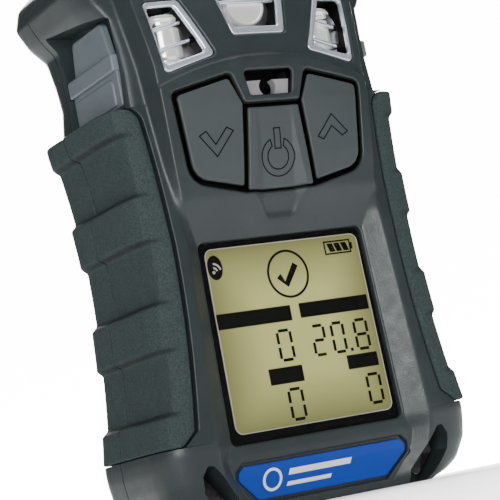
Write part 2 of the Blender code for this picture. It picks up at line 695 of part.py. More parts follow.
def buttons():
    for name, outline in (("up_button", side_key()), ("down_button", mirrored(side_key())),
                          ("power_button", power_key())):
        cap = face_slab(name, -0.1, BUTTON_THICK, 63.0, 92.0, KEY_RUBBER, PARTS)
        keep(cap, prism(f"{name}_outline", outline, -30.0, 0.0, "Y", None, CUTTERS))
    behind = BUTTON_THICK + BUTTON_TRAVEL + GAP
    backing = face_slab("keypad_membrane", behind, behind + 0.6, 63.5, 92.0, SEAL, PARTS)
    keep(backing, prism("membrane_outline", [(-20.0, 64.2), (20.0, 64.2), (21.2, 83.6), (-21.2, 83.6)],
                        -30.0, 0.0, "Y", None, CUTTERS))
    key_board_front = SCREEN_FACE + 0.9
    box("key_board", (-19.0, key_board_front, 66.0), (19.0, key_board_front + 1.2, 85.0), BOARD)
    for name, x, z in (("down_switch", -14.0, 77.0), ("power_switch", 0.0, 75.0), ("up_switch", 14.0, 77.0)):
        body = box(name, (x - 2.2, key_board_front - 2.2, z - 2.2), (x + 2.2, key_board_front - GAP, z + 2.2),
                   BLACK)
        tip = cylinder(f"{name}_plunger", (x, key_board_front - 2.3, z), 1.2, 0.8, "Y", None, CUTTERS, 16)
        join(body, tip)


HORN_Z = 86.6


def horn():
    insert = face_slab("horn_insert", 1.2, 3.6, 84.0, 92.0, GREY, PARTS)
    outline = grown(HORN, -GAP)
    keep(insert, prism("horn_insert_outline", outline, -30.0, 0.0, "Y", None, CUTTERS))
    cut(insert, cylinder("horn_bore", (0.0, TIP, HORN_Z), HORN_BORE, 20.0, "Y", None, CUTTERS, 24))
    cylinder("horn_buzzer", (0.0, TIP + 7.6, 90.6), 4.0, 5.0, "Y", BLACK, sides=28)


# ---------------------------------------------------------------- sensor head


PORTS = {
    "left": (LEFT_PORT, (-17.2, 98.2)),
    "centre": (CENTRE_PORT, (0.0, 104.6)),
    "right": (mirrored(LEFT_PORT), (17.2, 98.2)),
}
SENSORS = {"left": "combustible_sensor", "centre": "oxygen_sensor", "right": "toxic_sensor"}


def port_grille(side):
    """A bright guard: a frame, two bars across it and a ring round the sensor's inlet."""
    outline, (x, z) = PORTS[side]
    low, high = min(p[1] for p in outline) - 1.0, max(p[1] for p in outline) + 1.0
    outer = grown(outline, -GAP)
    frame = face_slab(f"{side}_port_grille", 0.1, PORT_DEEP, low, high, CHROME, PARTS)
    keep(frame, prism(f"{side}_grille_outline", rounded(outer, 0.8), -30.0, 0.0, "Y", None, CUTTERS))
    inner = rounded(grown(outer, -PORT_FRAME), 0.5, 2)
    window = prism(f"{side}_grille_window", inner, -30.0, 0.0, "Y", None, CUTTERS)
    for number, offset in enumerate((-3.4, 1.2)):
        bar = box(f"{side}_grille_bar_{number}", (x - 12.0, -28.0, z + offset - 0.45),
                  (x + 12.0, -2.0, z + offset + 0.45), None, CUTTERS)
        cut(window, bar)
    cut(frame, window)


def clear_depth(x, z, radius):
    """How far back a disc behind the face has to stand to clear the grille all round."""
    turns = [math.pi * k / 8 for k in range(16)]
    depths = [face_depth(x + radius * math.cos(a), z + radius * math.sin(a)) for a in turns]
    return max(depths) + PORT_DEEP + GAP


def sensor_head():
    for side, (outline, (x, z)) in PORTS.items():
        port_grille(side)
        front = clear_depth(x, z, FILTER_RADIUS)
        middle = (x, front + FILTER_THICK / 2, z)
        cylinder(f"{side}_dust_filter", middle, FILTER_RADIUS, FILTER_THICK, "Y", FILTER)
        front = max(front + FILTER_THICK + GAP, clear_depth(x, z, SENSOR_RADIUS))
        inset = math.copysign(SENSOR_INSET, x) if x else 0.0
        middle = (x - inset, front + SENSOR_DEEP / 2, z)
        cylinder(SENSORS[side], middle, SENSOR_RADIUS, SENSOR_DEEP, "Y", STEEL, sides=36)
    box("sensor_board", (-21.0, 2.0, 88.0), (21.0, 3.6, 103.0), BOARD)


# ---------------------------------------------------------------- lenses and label


def alarm_lenses():
    left = ("left", mirrored(UPPER_LENS), mirrored(LOWER_LENS))
    for side, upper, lower in (("right", UPPER_LENS, LOWER_LENS), left):
        lens = face_slab(f"upper_{side}_alarm_lens", 0.0, PORT_DEEP - GAP, 108.2, 116.8, LENS, PARTS)
        edge = rounded(grown(upper, -GAP), 0.9)
        keep(lens, prism(f"upper_{side}_lens_edge", edge, -30.0, 0.0, "Y", None, CUTTERS))
        prism(f"lower_{side}_alarm_lens", rounded(grown(lower, -GAP), 0.4, 2), -5.6, -2.0 - GAP, "Y", LENS)


def label_plate():
    plate = face_slab("label_plate", -0.1, 0.7, 2.0, 13.0, LABEL_BLUE, PARTS)
    keep(plate, prism("label_plate_outline", rounded(LABEL, 0.5, 2), -30.0, 0.0, "Y", None, CUTTERS))


# ---------------------------------------------------------------- inside


MOTOR_AT = (14.0, BACK - 10.4, 72.0)
MOTOR_RADIUS = 3.0


def inner_pieces():
    box("main_board", (-23.5, -2.6, 18.0), (23.5, -1.0, 84.0), BOARD)
    box("battery_pack", (-16.5, 2.2, 19.0), (16.5, BACK - 6.4, 62.0), BATTERY, bevel=1.2)
    x, y, z = MOTOR_AT
    cylinder("vibration_motor", (x, y, z), MOTOR_RADIUS, 10.0, "X", STEEL, sides=28)
    shaft_hole = cylinder("motor_shaft_hole", (x - 5.0, y, z), 0.7, 4.0, "X", None, CUTTERS, 16)
    cut(bpy.data.objects["vibration_motor"], shaft_hole)
    weight = cylinder("motor_weight", (x - 7.2, y, z), 2.8, 3.0, "X", GOLD, sides=28)
    cut(weight, box("motor_weight_flat", (x - 10.0, y - 4.0, z + 0.9), (x - 4.0, y + 4.0, z + 5.0), None,
                    CUTTERS))
    join(weight, cylinder("motor_shaft", (x - 5.6, y, z), 0.45, 3.6, "X", None, CUTTERS, 12))


# ---------------------------------------------------------------- belt clip


def clip_base():
    y0 = BACK + GAP
    plate = box("clip_base", (-CLIP_HALF, y0, 60.0), (CLIP_HALF, y0 + 1.6, CLIP_PIVOT_Z + 8.0), STEEL)
    for side in (-1, 1):
        ear = [(y0 + 0.4, CLIP_PIVOT_Z - 4.5), (y0 + 0.4, CLIP_PIVOT_Z + 4.5),
               (CLIP_PIVOT_Y + 2.0, CLIP_PIVOT_Z + 2.8), (CLIP_PIVOT_Y + 2.8, CLIP_PIVOT_Z),
               (CLIP_PIVOT_Y + 2.0, CLIP_PIVOT_Z - 2.8)]
        span = sorted((side * (CLIP_HALF - 1.4), side * CLIP_HALF))
        join(plate, prism(f"clip_ear_{side}", ear, *span, "X", None, CUTTERS))
    cut(plate, cylinder("clip_pin_bore", (0, CLIP_PIVOT_Y, CLIP_PIVOT_Z), CLIP_PIN_RADIUS + 0.15, 40.0, "X",
                        None, CUTTERS, 24))
    for number, z in enumerate((65.0, 80.0), 1):
        cut(plate, cylinder(f"clip_screw_hole_{number}", (0, BACK, z), 1.6, 10.0, "Y", None, CUTTERS, 20))
        cut(bpy.data.objects["rear_housing"],
            cylinder(f"clip_screw_pilot_{number}", (0, BACK, z), 1.3 + GAP, 8.0, "Y", None, CUTTERS, 16))
        screw = cylinder(f"clip_screw_{number}", (0, y0 + 1.6 + GAP + 0.4, z), 2.6, 0.8, "Y", STEEL, sides=24)
        shank = cylinder(f"clip_screw_shank_{number}", (0, y0 + 0.6, z), 1.2, 5.6, "Y", None, CUTTERS, 16)
        join(screw, shank)
    axis = (0, CLIP_PIVOT_Y, CLIP_PIVOT_Z)
    cylinder("clip_pin", axis, CLIP_PIN_RADIUS, 2 * CLIP_HALF + 1.6, "X", STEEL, sides=24)


def clip_lever():
    """A bent strap that turns on the pin: pad above, bowed jaw below."""
    inner = [(CLIP_PIVOT_Y + 5.6, CLIP_PAD_Z), (CLIP_PIVOT_Y + 3.2, CLIP_PIVOT_Z + 6.0),
             (CLIP_PIVOT_Y + 2.8, CLIP_PIVOT_Z), (CLIP_PIVOT_Y + 2.2, CLIP_PIVOT_Z - 8.0),
             (CLIP_PIVOT_Y + 0.6, CLIP_JAW_Z + 12.0), (CLIP_PIVOT_Y - 2.4, CLIP_JAW_Z + 5.0),
             (BACK + 0.5, CLIP_JAW_Z + 2.0), (BACK + 0.9, CLIP_JAW_Z)]
    outer = [(y + CLIP_SHEET, z) for y, z in reversed(inner)]
    half = CLIP_HALF - 1.4 - GAP
    lever = prism("clip_lever", inner + outer, -half, half, "X", STEEL)
    for side in (-1, 1):
        lug = [(CLIP_PIVOT_Y + 3.3, CLIP_PIVOT_Z + 4.0), (CLIP_PIVOT_Y - 1.4, CLIP_PIVOT_Z + 2.4),
               (CLIP_PIVOT_Y - 2.4, CLIP_PIVOT_Z), (CLIP_PIVOT_Y - 1.4, CLIP_PIVOT_Z - 2.4),
               (CLIP_PIVOT_Y + 2.9, CLIP_PIVOT_Z - 4.0)]
        span = sorted((side * (half - 1.2), side * half))
        join(lever, prism(f"clip_lug_{side}", lug, *span, "X", None, CUTTERS))
    cut(lever, cylinder("clip_lug_bore", (0, CLIP_PIVOT_Y, CLIP_PIVOT_Z), CLIP_PIN_RADIUS + 0.1, 40.0, "X",
                        None, CUTTERS, 24))


def clip_spring():
    """A torsion coil round the pin, as one helix of wire."""
    turns, steps, radius, wire = 5, 12, CLIP_PIN_RADIUS + 0.75, 0.3
    curve = bpy.data.curves.new("clip_spring", "CURVE")
    curve.dimensions = "3D"
    curve.bevel_depth = wire * MM
    curve.bevel_resolution = 1
    curve.use_fill_caps = True
    line = curve.splines.new("POLY")
    total = turns * steps
    line.points.add(total)
    for k in range(total + 1):
        angle = 2 * math.pi * k / steps
        x = -4.0 + 8.0 * k / total
        point = (x, CLIP_PIVOT_Y + radius * math.cos(angle), CLIP_PIVOT_Z + radius * math.sin(angle))
        line.points[k].co = (*(c * MM for c in point), 1.0)
    curve.materials.append(STEEL)
    PARTS.objects.link(bpy.data.objects.new("clip_spring", curve))


def stand_on_base():
    """Lowers every piece and cutter together, so the bottom face is at height zero."""
    for obj in [*PARTS.objects, *CUTTERS.objects]:
        obj.data.transform(Matrix.Translation((0, 0, -BASE * MM)))


clear_scene()
front_housing()
rear_housing()
charge_contacts()
case_screws()
case_gasket()
grips()
cap_catches()
display()
buttons()
horn()
sensor_head()
alarm_lenses()
label_plate()
inner_pieces()
clip_base()
clip_lever()
clip_spring()
stand_on_base()
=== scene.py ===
# %% [markdown]
# # A portable gas detector
# A hand-held gas detector has a hard charcoal case, rubber side grips, an olive display, three buttons and
# bright sensor ports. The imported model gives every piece's size and place. This lesson dresses it with finer
# surfaces and finishes, and changes none of its sizes.

# %% Load the frame
import math

import bmesh
import bpy
import numpy as np
from mathutils import Matrix, Vector


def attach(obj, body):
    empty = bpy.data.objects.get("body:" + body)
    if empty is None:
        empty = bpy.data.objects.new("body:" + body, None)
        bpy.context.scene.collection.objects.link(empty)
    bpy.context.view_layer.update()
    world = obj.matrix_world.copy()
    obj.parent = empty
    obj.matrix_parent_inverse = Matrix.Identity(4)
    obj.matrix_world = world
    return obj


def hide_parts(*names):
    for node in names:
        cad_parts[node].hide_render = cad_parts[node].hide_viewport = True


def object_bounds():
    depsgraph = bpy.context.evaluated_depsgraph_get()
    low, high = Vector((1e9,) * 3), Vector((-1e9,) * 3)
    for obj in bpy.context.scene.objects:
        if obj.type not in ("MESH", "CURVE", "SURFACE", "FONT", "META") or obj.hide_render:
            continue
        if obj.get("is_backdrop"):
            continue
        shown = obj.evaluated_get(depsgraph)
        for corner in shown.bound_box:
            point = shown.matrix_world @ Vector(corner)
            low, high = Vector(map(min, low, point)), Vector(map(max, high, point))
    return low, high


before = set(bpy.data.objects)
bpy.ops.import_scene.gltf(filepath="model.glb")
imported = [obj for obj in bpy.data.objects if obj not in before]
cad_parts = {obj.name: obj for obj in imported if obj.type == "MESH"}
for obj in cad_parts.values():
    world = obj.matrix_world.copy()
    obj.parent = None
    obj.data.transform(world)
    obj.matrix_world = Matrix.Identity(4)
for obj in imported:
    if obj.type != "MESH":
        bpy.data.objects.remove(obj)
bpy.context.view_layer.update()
MM = 0.001
BASE = 1.3  # heights are drawn from a datum this far under the bottom face

# %% [markdown]
# Every new piece is a set of points worked out with numpy, joined by faces. One helper turns such arrays into
# an object that rides on its body. A grid of rows and columns is the commonest form, so its faces are worked
# out once, from the row and column numbers alone.

# %% Meshes from arrays


def grid_faces(rows, columns, wrap_rows=False, wrap_columns=False):
    """Quads between neighbouring rows and columns. A wrapped direction joins its last line to its first."""
    r = np.arange(rows if wrap_rows else rows - 1)[:, None]
    c = np.arange(columns if wrap_columns else columns - 1)[None, :]
    r_next, c_next = (r + 1) % rows, (c + 1) % columns
    quads = [r * columns + c, r * columns + c_next, r_next * columns + c_next, r_next * columns + c]
    return np.stack(np.broadcast_arrays(*quads), axis=-1).reshape(-1, 4).tolist()


def tube(points):
    """A grid of points with its columns wrapped round and one face closing it at each end."""
    rows, columns = points.shape[:2]
    count = rows * columns
    ends = [list(range(columns)), list(range(count - columns, count))[::-1]]
    return points.reshape(-1, 3), grid_faces(rows, columns, wrap_columns=True) + ends


def mesh_from(name, points, faces, crease=32.0):
    """A mesh in metres from points in millimetres, with its faces outwards and edges over crease degrees sharp."""
    mesh = bpy.data.meshes.new(name)
    placed = (np.asarray(points, float).reshape(-1, 3) - (0.0, 0.0, BASE)) * MM
    mesh.from_pydata(placed.tolist(), [], faces)
    bm = bmesh.new()
    bm.from_mesh(mesh)
    bmesh.ops.remove_doubles(bm, verts=bm.verts, dist=1e-7)
    bmesh.ops.recalc_face_normals(bm, faces=bm.faces)
    bm.to_mesh(mesh)
    bm.free()
    finish_shading(mesh, crease)
    return mesh


def finish_shading(mesh, crease):
    """Smooth shading, kept sharp where two faces meet at more than crease degrees."""
    mesh.polygons.foreach_set("use_smooth", np.ones(len(mesh.polygons), bool))
    mesh.set_sharp_from_angle(angle=math.radians(crease))


def piece(name, mesh, look, body="housing", stands_for=()):
    """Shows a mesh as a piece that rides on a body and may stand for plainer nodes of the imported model."""
    made = bpy.data.objects.new(name, mesh)
    bpy.context.scene.collection.objects.link(made)
    mesh.materials.clear()
    mesh.materials.append(look)
    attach(made, body)
    if stands_for:
        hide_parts(*stands_for)
    return made


def joined(*parts):
    """Several (points, faces) pairs as one."""
    points, faces, start = [], [], 0
    for part_points, part_faces in parts:
        part_points = np.asarray(part_points, float).reshape(-1, 3)
        points.append(part_points)
        faces += [[start + i for i in face] for face in part_faces]
        start += len(part_points)
    return np.concatenate(points), faces


print(f"a closed tube of 3 rows and 4 columns has {len(tube(np.zeros((3, 4, 3)))[1])} faces")

# %% [markdown]
# Outlines are drawn flat, in X and Z, as seen from the front. The same three tools serve all of them: one
# rounds the corners, one grows or shrinks the outline, and one adds points along its sides so that it can
# follow a curved face.

# %% Outline tools


def rounded(outline, radius, steps=4):
    """Each corner becomes an arc tangent to both of its sides, of one radius or of a radius for each corner."""
    corner = np.asarray(outline, float)
    radius = np.broadcast_to(radius, len(corner))[:, None]
    back, ahead = np.roll(corner, 1, 0) - corner, np.roll(corner, -1, 0) - corner
    back /= np.linalg.norm(back, axis=1, keepdims=True)
    ahead /= np.linalg.norm(ahead, axis=1, keepdims=True)
    half = np.arccos(np.clip((back * ahead).sum(1), -1, 1)) / 2
    middle = back + ahead
    middle /= np.linalg.norm(middle, axis=1, keepdims=True)
    centre = corner + middle * radius / np.sin(half)[:, None]
    reach = radius / np.tan(half)[:, None]
    first, last = corner + back * reach - centre, corner + ahead * reach - centre
    t = np.linspace(0, 1, steps + 1)[None, :, None]
    arm = first[:, None] * (1 - t) + last[:, None] * t
    arm *= radius[:, None] / np.linalg.norm(arm, axis=2, keepdims=True)
    return (centre[:, None] + arm).reshape(-1, 2)


def outward(outline):
    """Unit vectors that point out of an outline at each of its points, and how far a mitre reaches there."""
    p = np.asarray(outline, float)
    side = np.roll(p, -1, 0) - p
    side /= np.linalg.norm(side, axis=1, keepdims=True)
    area = np.sum(p[:, 0] * np.roll(p[:, 1], -1) - np.roll(p[:, 0], -1) * p[:, 1])
    normal = np.column_stack([side[:, 1], -side[:, 0]]) * np.sign(area)
    joint = normal + np.roll(normal, 1, 0)
    joint /= np.linalg.norm(joint, axis=1, keepdims=True)
    return joint / np.clip((joint * normal).sum(1), 0.4, 1)[:, None]


def grown(outline, distance):
    """The outline moved outwards by a distance, or inwards when it is negative."""
    return np.asarray(outline, float) + outward(outline) * distance


def mirrored(outline):
    """The outline on the other side: x changes its sign, and the order is turned so that it runs the same way."""
    return np.asarray(outline, float)[::-1] * (-1, 1)


def dense(outline, step=0.7):
    """The same outline with points added along its sides, no more than a step apart."""
    p = np.asarray(outline, float)
    side = np.roll(p, -1, 0) - p
    counts = np.maximum(1, np.ceil(np.linalg.norm(side, axis=1) / step)).astype(int)
    start = np.repeat(np.arange(len(p)), counts)
    t = (np.arange(counts.sum()) - np.repeat(np.cumsum(counts) - counts, counts)) / counts[start]
    return p[start] + side[start] * t[:, None]


square = np.array([(0, 0), (4, 0), (4, 4), (0, 4)])
print(f"a square has {len(square)} points, {len(rounded(square, 1.0))} once rounded and {len(dense(square))} once dense")

# %% [markdown]
# The case swells and narrows over its height, so its section is listed at a few heights, as a boat builder
# lists frames. Reading between two of them in a straight line would leave creases, so each reading is the
# average over a short stretch of height.

# %% The case's sections
SCREEN_FACE, BACK = -9.3, 19.0
BUMPER, HEAD, CROWN, HEEL = 37.2, 31.0, 36.6, 24.4
WINDOW_LOW, WINDOW_HIGH = 15.1, 56.5
SEAT_LOW, SEAT_HIGH = 16.5, 85.3
NO = np.nan
SECTIONS = np.array([
    # height, middle, half, edge, rail half, rail, side, back, heel
    (1.3, -5.3, 15.6, -5.1, 20.4, -6.4, BUMPER - 7.8, BACK - 4.4, 15.0),
    (2.5, -6.7, 16.4, -6.5, 22.0, -8.4, BUMPER - 5.0, BACK - 2.4, 16.8),
    (4.7, -7.0, 18.6, -7.0, 23.3, -10.0, BUMPER - 2.4, BACK - 0.8, 17.9),
    (9.0, -8.7, 21.6, -8.7, 24.8, -11.4, BUMPER - 0.4, BACK, 18.8),
    (12.6, -9.3, 22.6, -9.3, 25.4, -12.0, BUMPER, BACK, 19.2),
    (15.1, -9.3, 21.1, -9.3, 25.8, -12.5, BUMPER, BACK, 19.4),
    (56.5, -9.3, 20.2, -9.3, 23.6, -12.3, NO, BACK, 19.8),
    (60.0, -10.7, 21.3, -11.0, 23.8, -12.1, NO, BACK, 20.0),
    (64.7, -13.5, 23.2, -12.9, 24.6, -11.9, NO, BACK, 20.4),
    (72.0, -15.0, 24.0, -14.0, 25.4, -11.7, NO, BACK, 21.0),
    (83.3, -16.8, 24.7, -15.2, 26.2, -11.4, NO, BACK, 22.2),
    (92.7, -17.7, 25.0, -15.5, 26.6, -11.0, HEAD, BACK, 20.8),
    (98.0, -17.5, 25.6, -15.0, 27.2, -10.6, HEAD, BACK, 21.8),
    (104.0, -16.7, 26.2, -14.1, 28.0, -10.0, HEAD + 0.6, BACK, 22.8),
    (107.5, -15.9, 26.4, -13.3, 28.4, -9.4, CROWN - 2.2, BACK, HEEL - 0.6),
    (112.0, -14.3, 26.4, -11.8, 28.6, -8.4, CROWN, BACK, HEEL),
    (116.0, -11.7, 25.6, -9.7, 27.8, -6.6, CROWN - 1.0, BACK - 0.2, HEEL - 0.4),
    (118.5, -8.1, 23.6, -6.5, 25.6, -3.6, CROWN - 3.6, BACK - 1.2, HEEL - 2.0),
    (120.0, -4.7, 21.6, -3.3, 23.4, -0.4, CROWN - 7.0, BACK - 3.6, HEEL - 5.0),
])
COLUMNS = dict(middle=1, half=2, edge=3, rail_half=4, rail=5, side=6, back=7, heel=8)


def section(name, z, reach=1.0):
    """A section's value at a height: the mean of straight-line readings over a stretch of 2 * reach."""
    known = SECTIONS[~np.isnan(SECTIONS[:, COLUMNS[name]])]
    offsets = np.linspace(-1, 1, 9) * reach
    weights = np.cos(offsets / reach * math.pi / 2 * 0.9) ** 2
    readings = np.interp(np.asarray(z, float)[..., None] + offsets, known[:, 0], known[:, COLUMNS[name]])
    return readings @ (weights / weights.sum())


def smooth(t):
    """0 below 0, 1 above 1, and a curve between them that starts and ends level."""
    t = np.clip(t, 0, 1)
    return t * t * (3 - 2 * t)


def side_half(z):
    """Half width over the rubber's ribs: a parabola that is narrowest at the waist."""
    return 33.8 + 0.0022 * (np.asarray(z, float) - 56.0) ** 2


def groove_half(z):
    """Half width of the groove beside the rubber. It turns outwards round the rubber's corners."""
    z = np.asarray(z, float)
    corner = 3.2
    near = np.clip(corner - (SEAT_HIGH - z), 0, corner)
    foot = np.clip(2.8 - (z - SEAT_LOW), 0, 2.8)
    return side_half(z) - 7.2 + corner - np.sqrt(corner**2 - near**2) + foot


print(f"half widths at the waist: {side_half(56.0):.1f} mm over the ribs, {groove_half(56.0):.1f} mm at the groove")

# %% [markdown]
# The front is a shallow barrel: flat at the display and rounder over the buttons. Two things are pressed into
# it. A brow steps back above an arc over the buttons, and a thumb notch with three flat faces runs down
# through the middle button. Both are sums on the same depth, so the buttons share the notch exactly.

# %% The front as a function of x and z
NOTCH_AT = np.array([59.8, 61.2, 65.0, 70.0, 76.0, 83.0])
NOTCH_DEEP = np.array([0.0, 0.8, 1.4, 0.95, 0.4, 0.1])
NOTCH_FLAT = np.array([2.6, 3.0, 3.6, 3.7, 3.8, 3.9])
NOTCH_SLOPE = np.array([0.5, 1.2, 3.1, 1.9, 0.9, 0.5])


def brow_height(x):
    """The arc over the buttons, a parabola."""
    return 92.7 - 0.0081 * np.asarray(x, float) ** 2


def front(x, z):
    """Depth of the front: the barrel's parabola across, plus the brow's step and the notch's trapezium."""
    x, z = np.broadcast_arrays(np.asarray(x, float), np.asarray(z, float))
    middle, edge, half = section("middle", z), section("edge", z), section("half", z)
    depth = middle + (edge - middle) * (x / half) ** 2
    brow = 0.5 * smooth((z - brow_height(x)) / 0.9) * smooth((112.0 - z) / 8.0)
    flat, slope = np.interp(z, NOTCH_AT, NOTCH_FLAT), np.interp(z, NOTCH_AT, NOTCH_SLOPE)
    notch = np.interp(z, NOTCH_AT, NOTCH_DEEP, left=0, right=0) * np.clip(1 - (np.abs(x) - flat) / slope, 0, 1)
    return depth + brow + notch


print(f"the front stands {SCREEN_FACE - front(0, 92.0):.1f} mm ahead of the display")

# %% [markdown]
# One ring round the case starts in the middle of the front, passes every corner of the section and ends in the
# middle of the back. Each corner is a short curve whose size is listed with it, because a moulded case has no
# sharp edges. Where the rubber sits, the ring is let in under it.

# %% The case as a loft
FACE_STEPS = 44
CORNER_STEPS = 5


def ring_corners(z, seated):
    """The section's corners beyond the front, as (x, depth, radius), bare or let in under the rubber."""
    rail_half, rail = section("rail_half", z), section("rail", z)
    back, heel = section("back", z), section("heel", z)
    start = [(section("half", z), front(section("half", z), z), 0.5), (rail_half, rail, 0.7)]
    if seated:
        groove, core = groove_half(z) - 0.35, side_half(z) - 3.4
        wrap, floor = side_half(z) - 8.0, BACK - 2.3 + 0 * z
        rest = [(groove, rail, 0.3), (groove, rail + 2.3, 0.1), (np.maximum(core - 2.2, groove + 0.2), rail + 3.1, 0.2),
                (core, rail + 6.3, 0.5), (core, floor - 4, 0.5), (core - 1.2, floor - 1.2, 0.5),
                (core - 4, floor, 0.5), (wrap, floor, 0.1), (wrap, back, 0.3)]
    else:
        side = section("side", z)
        rest = [(rail_half + 0.5 * (side - rail_half), rail + 0.4, 1.4),
                (rail_half + 0.72 * (side - rail_half), rail + 1.2, 1.2), (side - 0.8, rail + 3.2, 1.4),
                (side, rail + 6.5, 1.6), (side, heel - 3.6, 1.3), (side - 0.9, heel - 1.1, 1.2),
                (side - 3.4, heel, 1.2), (side - 8.0, heel - 0.2, 1.6), (side - 10.4, back, 1.2)]
    return start + rest


def half_ring(z, seated):
    """Points of half a section for an array of heights: the front, then a Bezier arc at each corner."""
    z = np.asarray(z, float)
    corners = ring_corners(z, seated)
    x = section("half", z)[:, None] * np.linspace(0, 1, FACE_STEPS)[None, :-1]
    columns = [np.stack([x, front(x, z[:, None])], axis=-1)]
    nodes = [np.stack(np.broadcast_arrays(cx, cy), axis=-1) for cx, cy, _ in corners]
    before = columns[0][:, -1]
    end = np.stack([0 * z, section("back", z)], axis=-1)
    t = np.linspace(0, 1, CORNER_STEPS)[None, :, None]
    for k, (node, (_, _, radius)) in enumerate(zip(nodes, corners)):
        last = before if k == 0 else nodes[k - 1]
        following = nodes[k + 1] if k + 1 < len(nodes) else end
        to_last, to_next = last - node, following - node
        long_last = np.maximum(np.linalg.norm(to_last, axis=1, keepdims=True), 1e-6)
        long_next = np.maximum(np.linalg.norm(to_next, axis=1, keepdims=True), 1e-6)
        a = node + to_last / long_last * np.minimum(radius, long_last * 0.48)
        b = node + to_next / long_next * np.minimum(radius, long_next * 0.48)
        columns.append((1 - t) ** 2 * a[:, None] + 2 * t * (1 - t) * node[:, None] + t**2 * b[:, None])
    fractions = np.linspace(0, 1, 14)[None, 1:, None]
    columns.append(columns[-1][:, -1:] * (1 - fractions) + end[:, None] * fractions)
    return np.concatenate(columns, axis=1)


def case_loft():
    """Rings over the whole height, each half mirrored to the other side, with a flat face at both ends."""
    low = np.concatenate([np.linspace(1.3, 5, 9), np.linspace(5.6, SEAT_LOW - 0.1, 19)])
    seat = [np.linspace(SEAT_LOW, 20.0, 16), np.linspace(20.8, 81.6, 100), np.linspace(82.0, SEAT_HIGH, 14)]
    seat = np.concatenate(seat)
    high = np.concatenate([np.linspace(SEAT_HIGH + 0.1, 116, 76), np.linspace(116.3, 120, 14)])
    half = np.concatenate([half_ring(low, False), half_ring(seat, True), half_ring(high, False)])
    z = np.concatenate([low, seat, high])
    other = half[:, -2:0:-1] * (-1, 1)
    ring = np.concatenate([half, other], axis=1)
    return tube(np.concatenate([ring, np.broadcast_to(z[:, None, None], (*ring.shape[:2], 1))], -1))


case_points, case_faces = case_loft()
print(f"the case's loft has {len(case_faces)} faces")

# %% [markdown]
# Openings are cut with straight cutters, as a mould's slides would leave them. A cutter is an outline carried
# through a range of depth. Blender's Boolean modifier takes them away one after another. Its Manifold solver
# is used, because it is fast on fine closed meshes.

# %% Cutting tools


def prism(outline, low, high, axis=1):
    """An outline carried along an axis, with both ends closed. The outline lies across the other two axes."""
    flat = np.asarray(outline, float)
    return tube(np.stack([np.insert(flat, axis, level, axis=1) for level in (low, high)]))


def round_bar(centre, radius, low, high, axis=1, sides=28):
    """A cylinder: a circle round a centre, carried along an axis."""
    turn = np.arange(sides) * 2 * math.pi / sides
    return prism(np.column_stack([np.cos(turn), np.sin(turn)]) * radius + centre, low, high, axis)


def cut_mesh(name, solid, cutters, crease=32.0, operation="DIFFERENCE"):
    """The solid with the cutters taken away, or joined on when the operation is UNION."""
    target = bpy.data.objects.new(name, mesh_from(name, *solid))
    bpy.context.scene.collection.objects.link(target)
    for number, cutter in enumerate(cutters):
        tool = bpy.data.objects.new(f"{name}_tool_{number}", mesh_from(f"{name}_tool_{number}", *cutter))
        bpy.context.scene.collection.objects.link(tool)
        modifier = target.modifiers.new(tool.name, "BOOLEAN")
        modifier.operation, modifier.solver, modifier.object = operation, "MANIFOLD", tool
    evaluated = target.evaluated_get(bpy.context.evaluated_depsgraph_get())
    mesh = bpy.data.meshes.new_from_object(evaluated)
    for modifier in target.modifiers:
        bpy.data.objects.remove(modifier.object)
    bpy.data.objects.remove(target)
    finish_shading(mesh, crease)
    return mesh


def slab(outline, low_depth, high_depth):
    """An outline carried between two depths that are measured from the curved front, closed at both ends."""
    flat = dense(outline, 0.6)
    centre = flat.mean(0)
    rows = centre + (flat - centre) * np.linspace(1, 0.02, 24)[:, None, None]
    x, z = rows[..., 0], rows[..., 1]
    near, far = (np.stack([x, front(x, z) + offset, z], axis=-1) for offset in (low_depth, high_depth))
    return tube(np.concatenate([near[::-1], far]))


print(f"a round cutter has {len(round_bar((0, 0), 1.0, 0.0, 1.0)[1])} faces")

# %% [markdown]
# The openings are listed once, as flat outlines with the depth that each cutter reaches. The right half of
# the front mirrors the left. The case parts along a stepped line that is nearly straight up the sides, so each
# shell also loses everything on the far side of that line.

# %% Openings, parting line and cavity
EDGE = 0.45  # radius round the openings
SEAM_GAP = 0.3
SEAM = np.array([(-5, 8.4), (74, 8.4), (84.9, 10.8), (85.9, 13.9), (96, 14.8), (108, 15.0), (125, 15.0)])
WINDOW = [(-20.8, WINDOW_LOW), (20.8, WINDOW_LOW), (19.8, WINDOW_HIGH), (-19.8, WINDOW_HIGH)]
KEY_HALF = [(8.35, 65.3), (20.9, 68.2), (22.7, 86.7), (8.9, 89.8), (6.6, 83.3)]
KEYS = np.concatenate([KEY_HALF, mirrored(KEY_HALF)])
KEY_ROUND = np.array([0.9, 4.6, 1.5, 1.2, 0.9])
HORN = [(-4.9, 84.6), (4.9, 84.6), (5.9, 89.9), (-5.9, 89.9)]
CENTRE_PORT = [(-6.3, 97.6), (6.3, 97.6), (9.4, 111.6), (-9.4, 111.6)]
LEFT_PORT = [(-22.7, 90.6), (-11.0, 93.8), (-16.4, 106.4), (-24.2, 106.4)]
LABEL = [(-15.6, 3.9), (15.6, 3.9), (20.2, 8.2), (20.2, 9.6), (19.0, 10.8), (-19.0, 10.8), (-20.2, 9.6), (-20.2, 8.2)]
POCKET = [(20.6, -3.0), (24.8, -3.0), (25.6, 1.4), (29.4, 7.0), (29.6, 10.2), (28.4, 12.2), (27.0, 12.0), (20.6, 4.0)]
UPPER_LENS = [(14.4, 109.0), (22.6, 109.0), (22.0, 114.6), (13.4, 114.6)]
CATCH_LOW, CATCH_HIGH, CATCH_FRONT, CATCH_BACK, CATCH_DEEP = 86.1, 107.3, -9.4, 12.8, 2.6

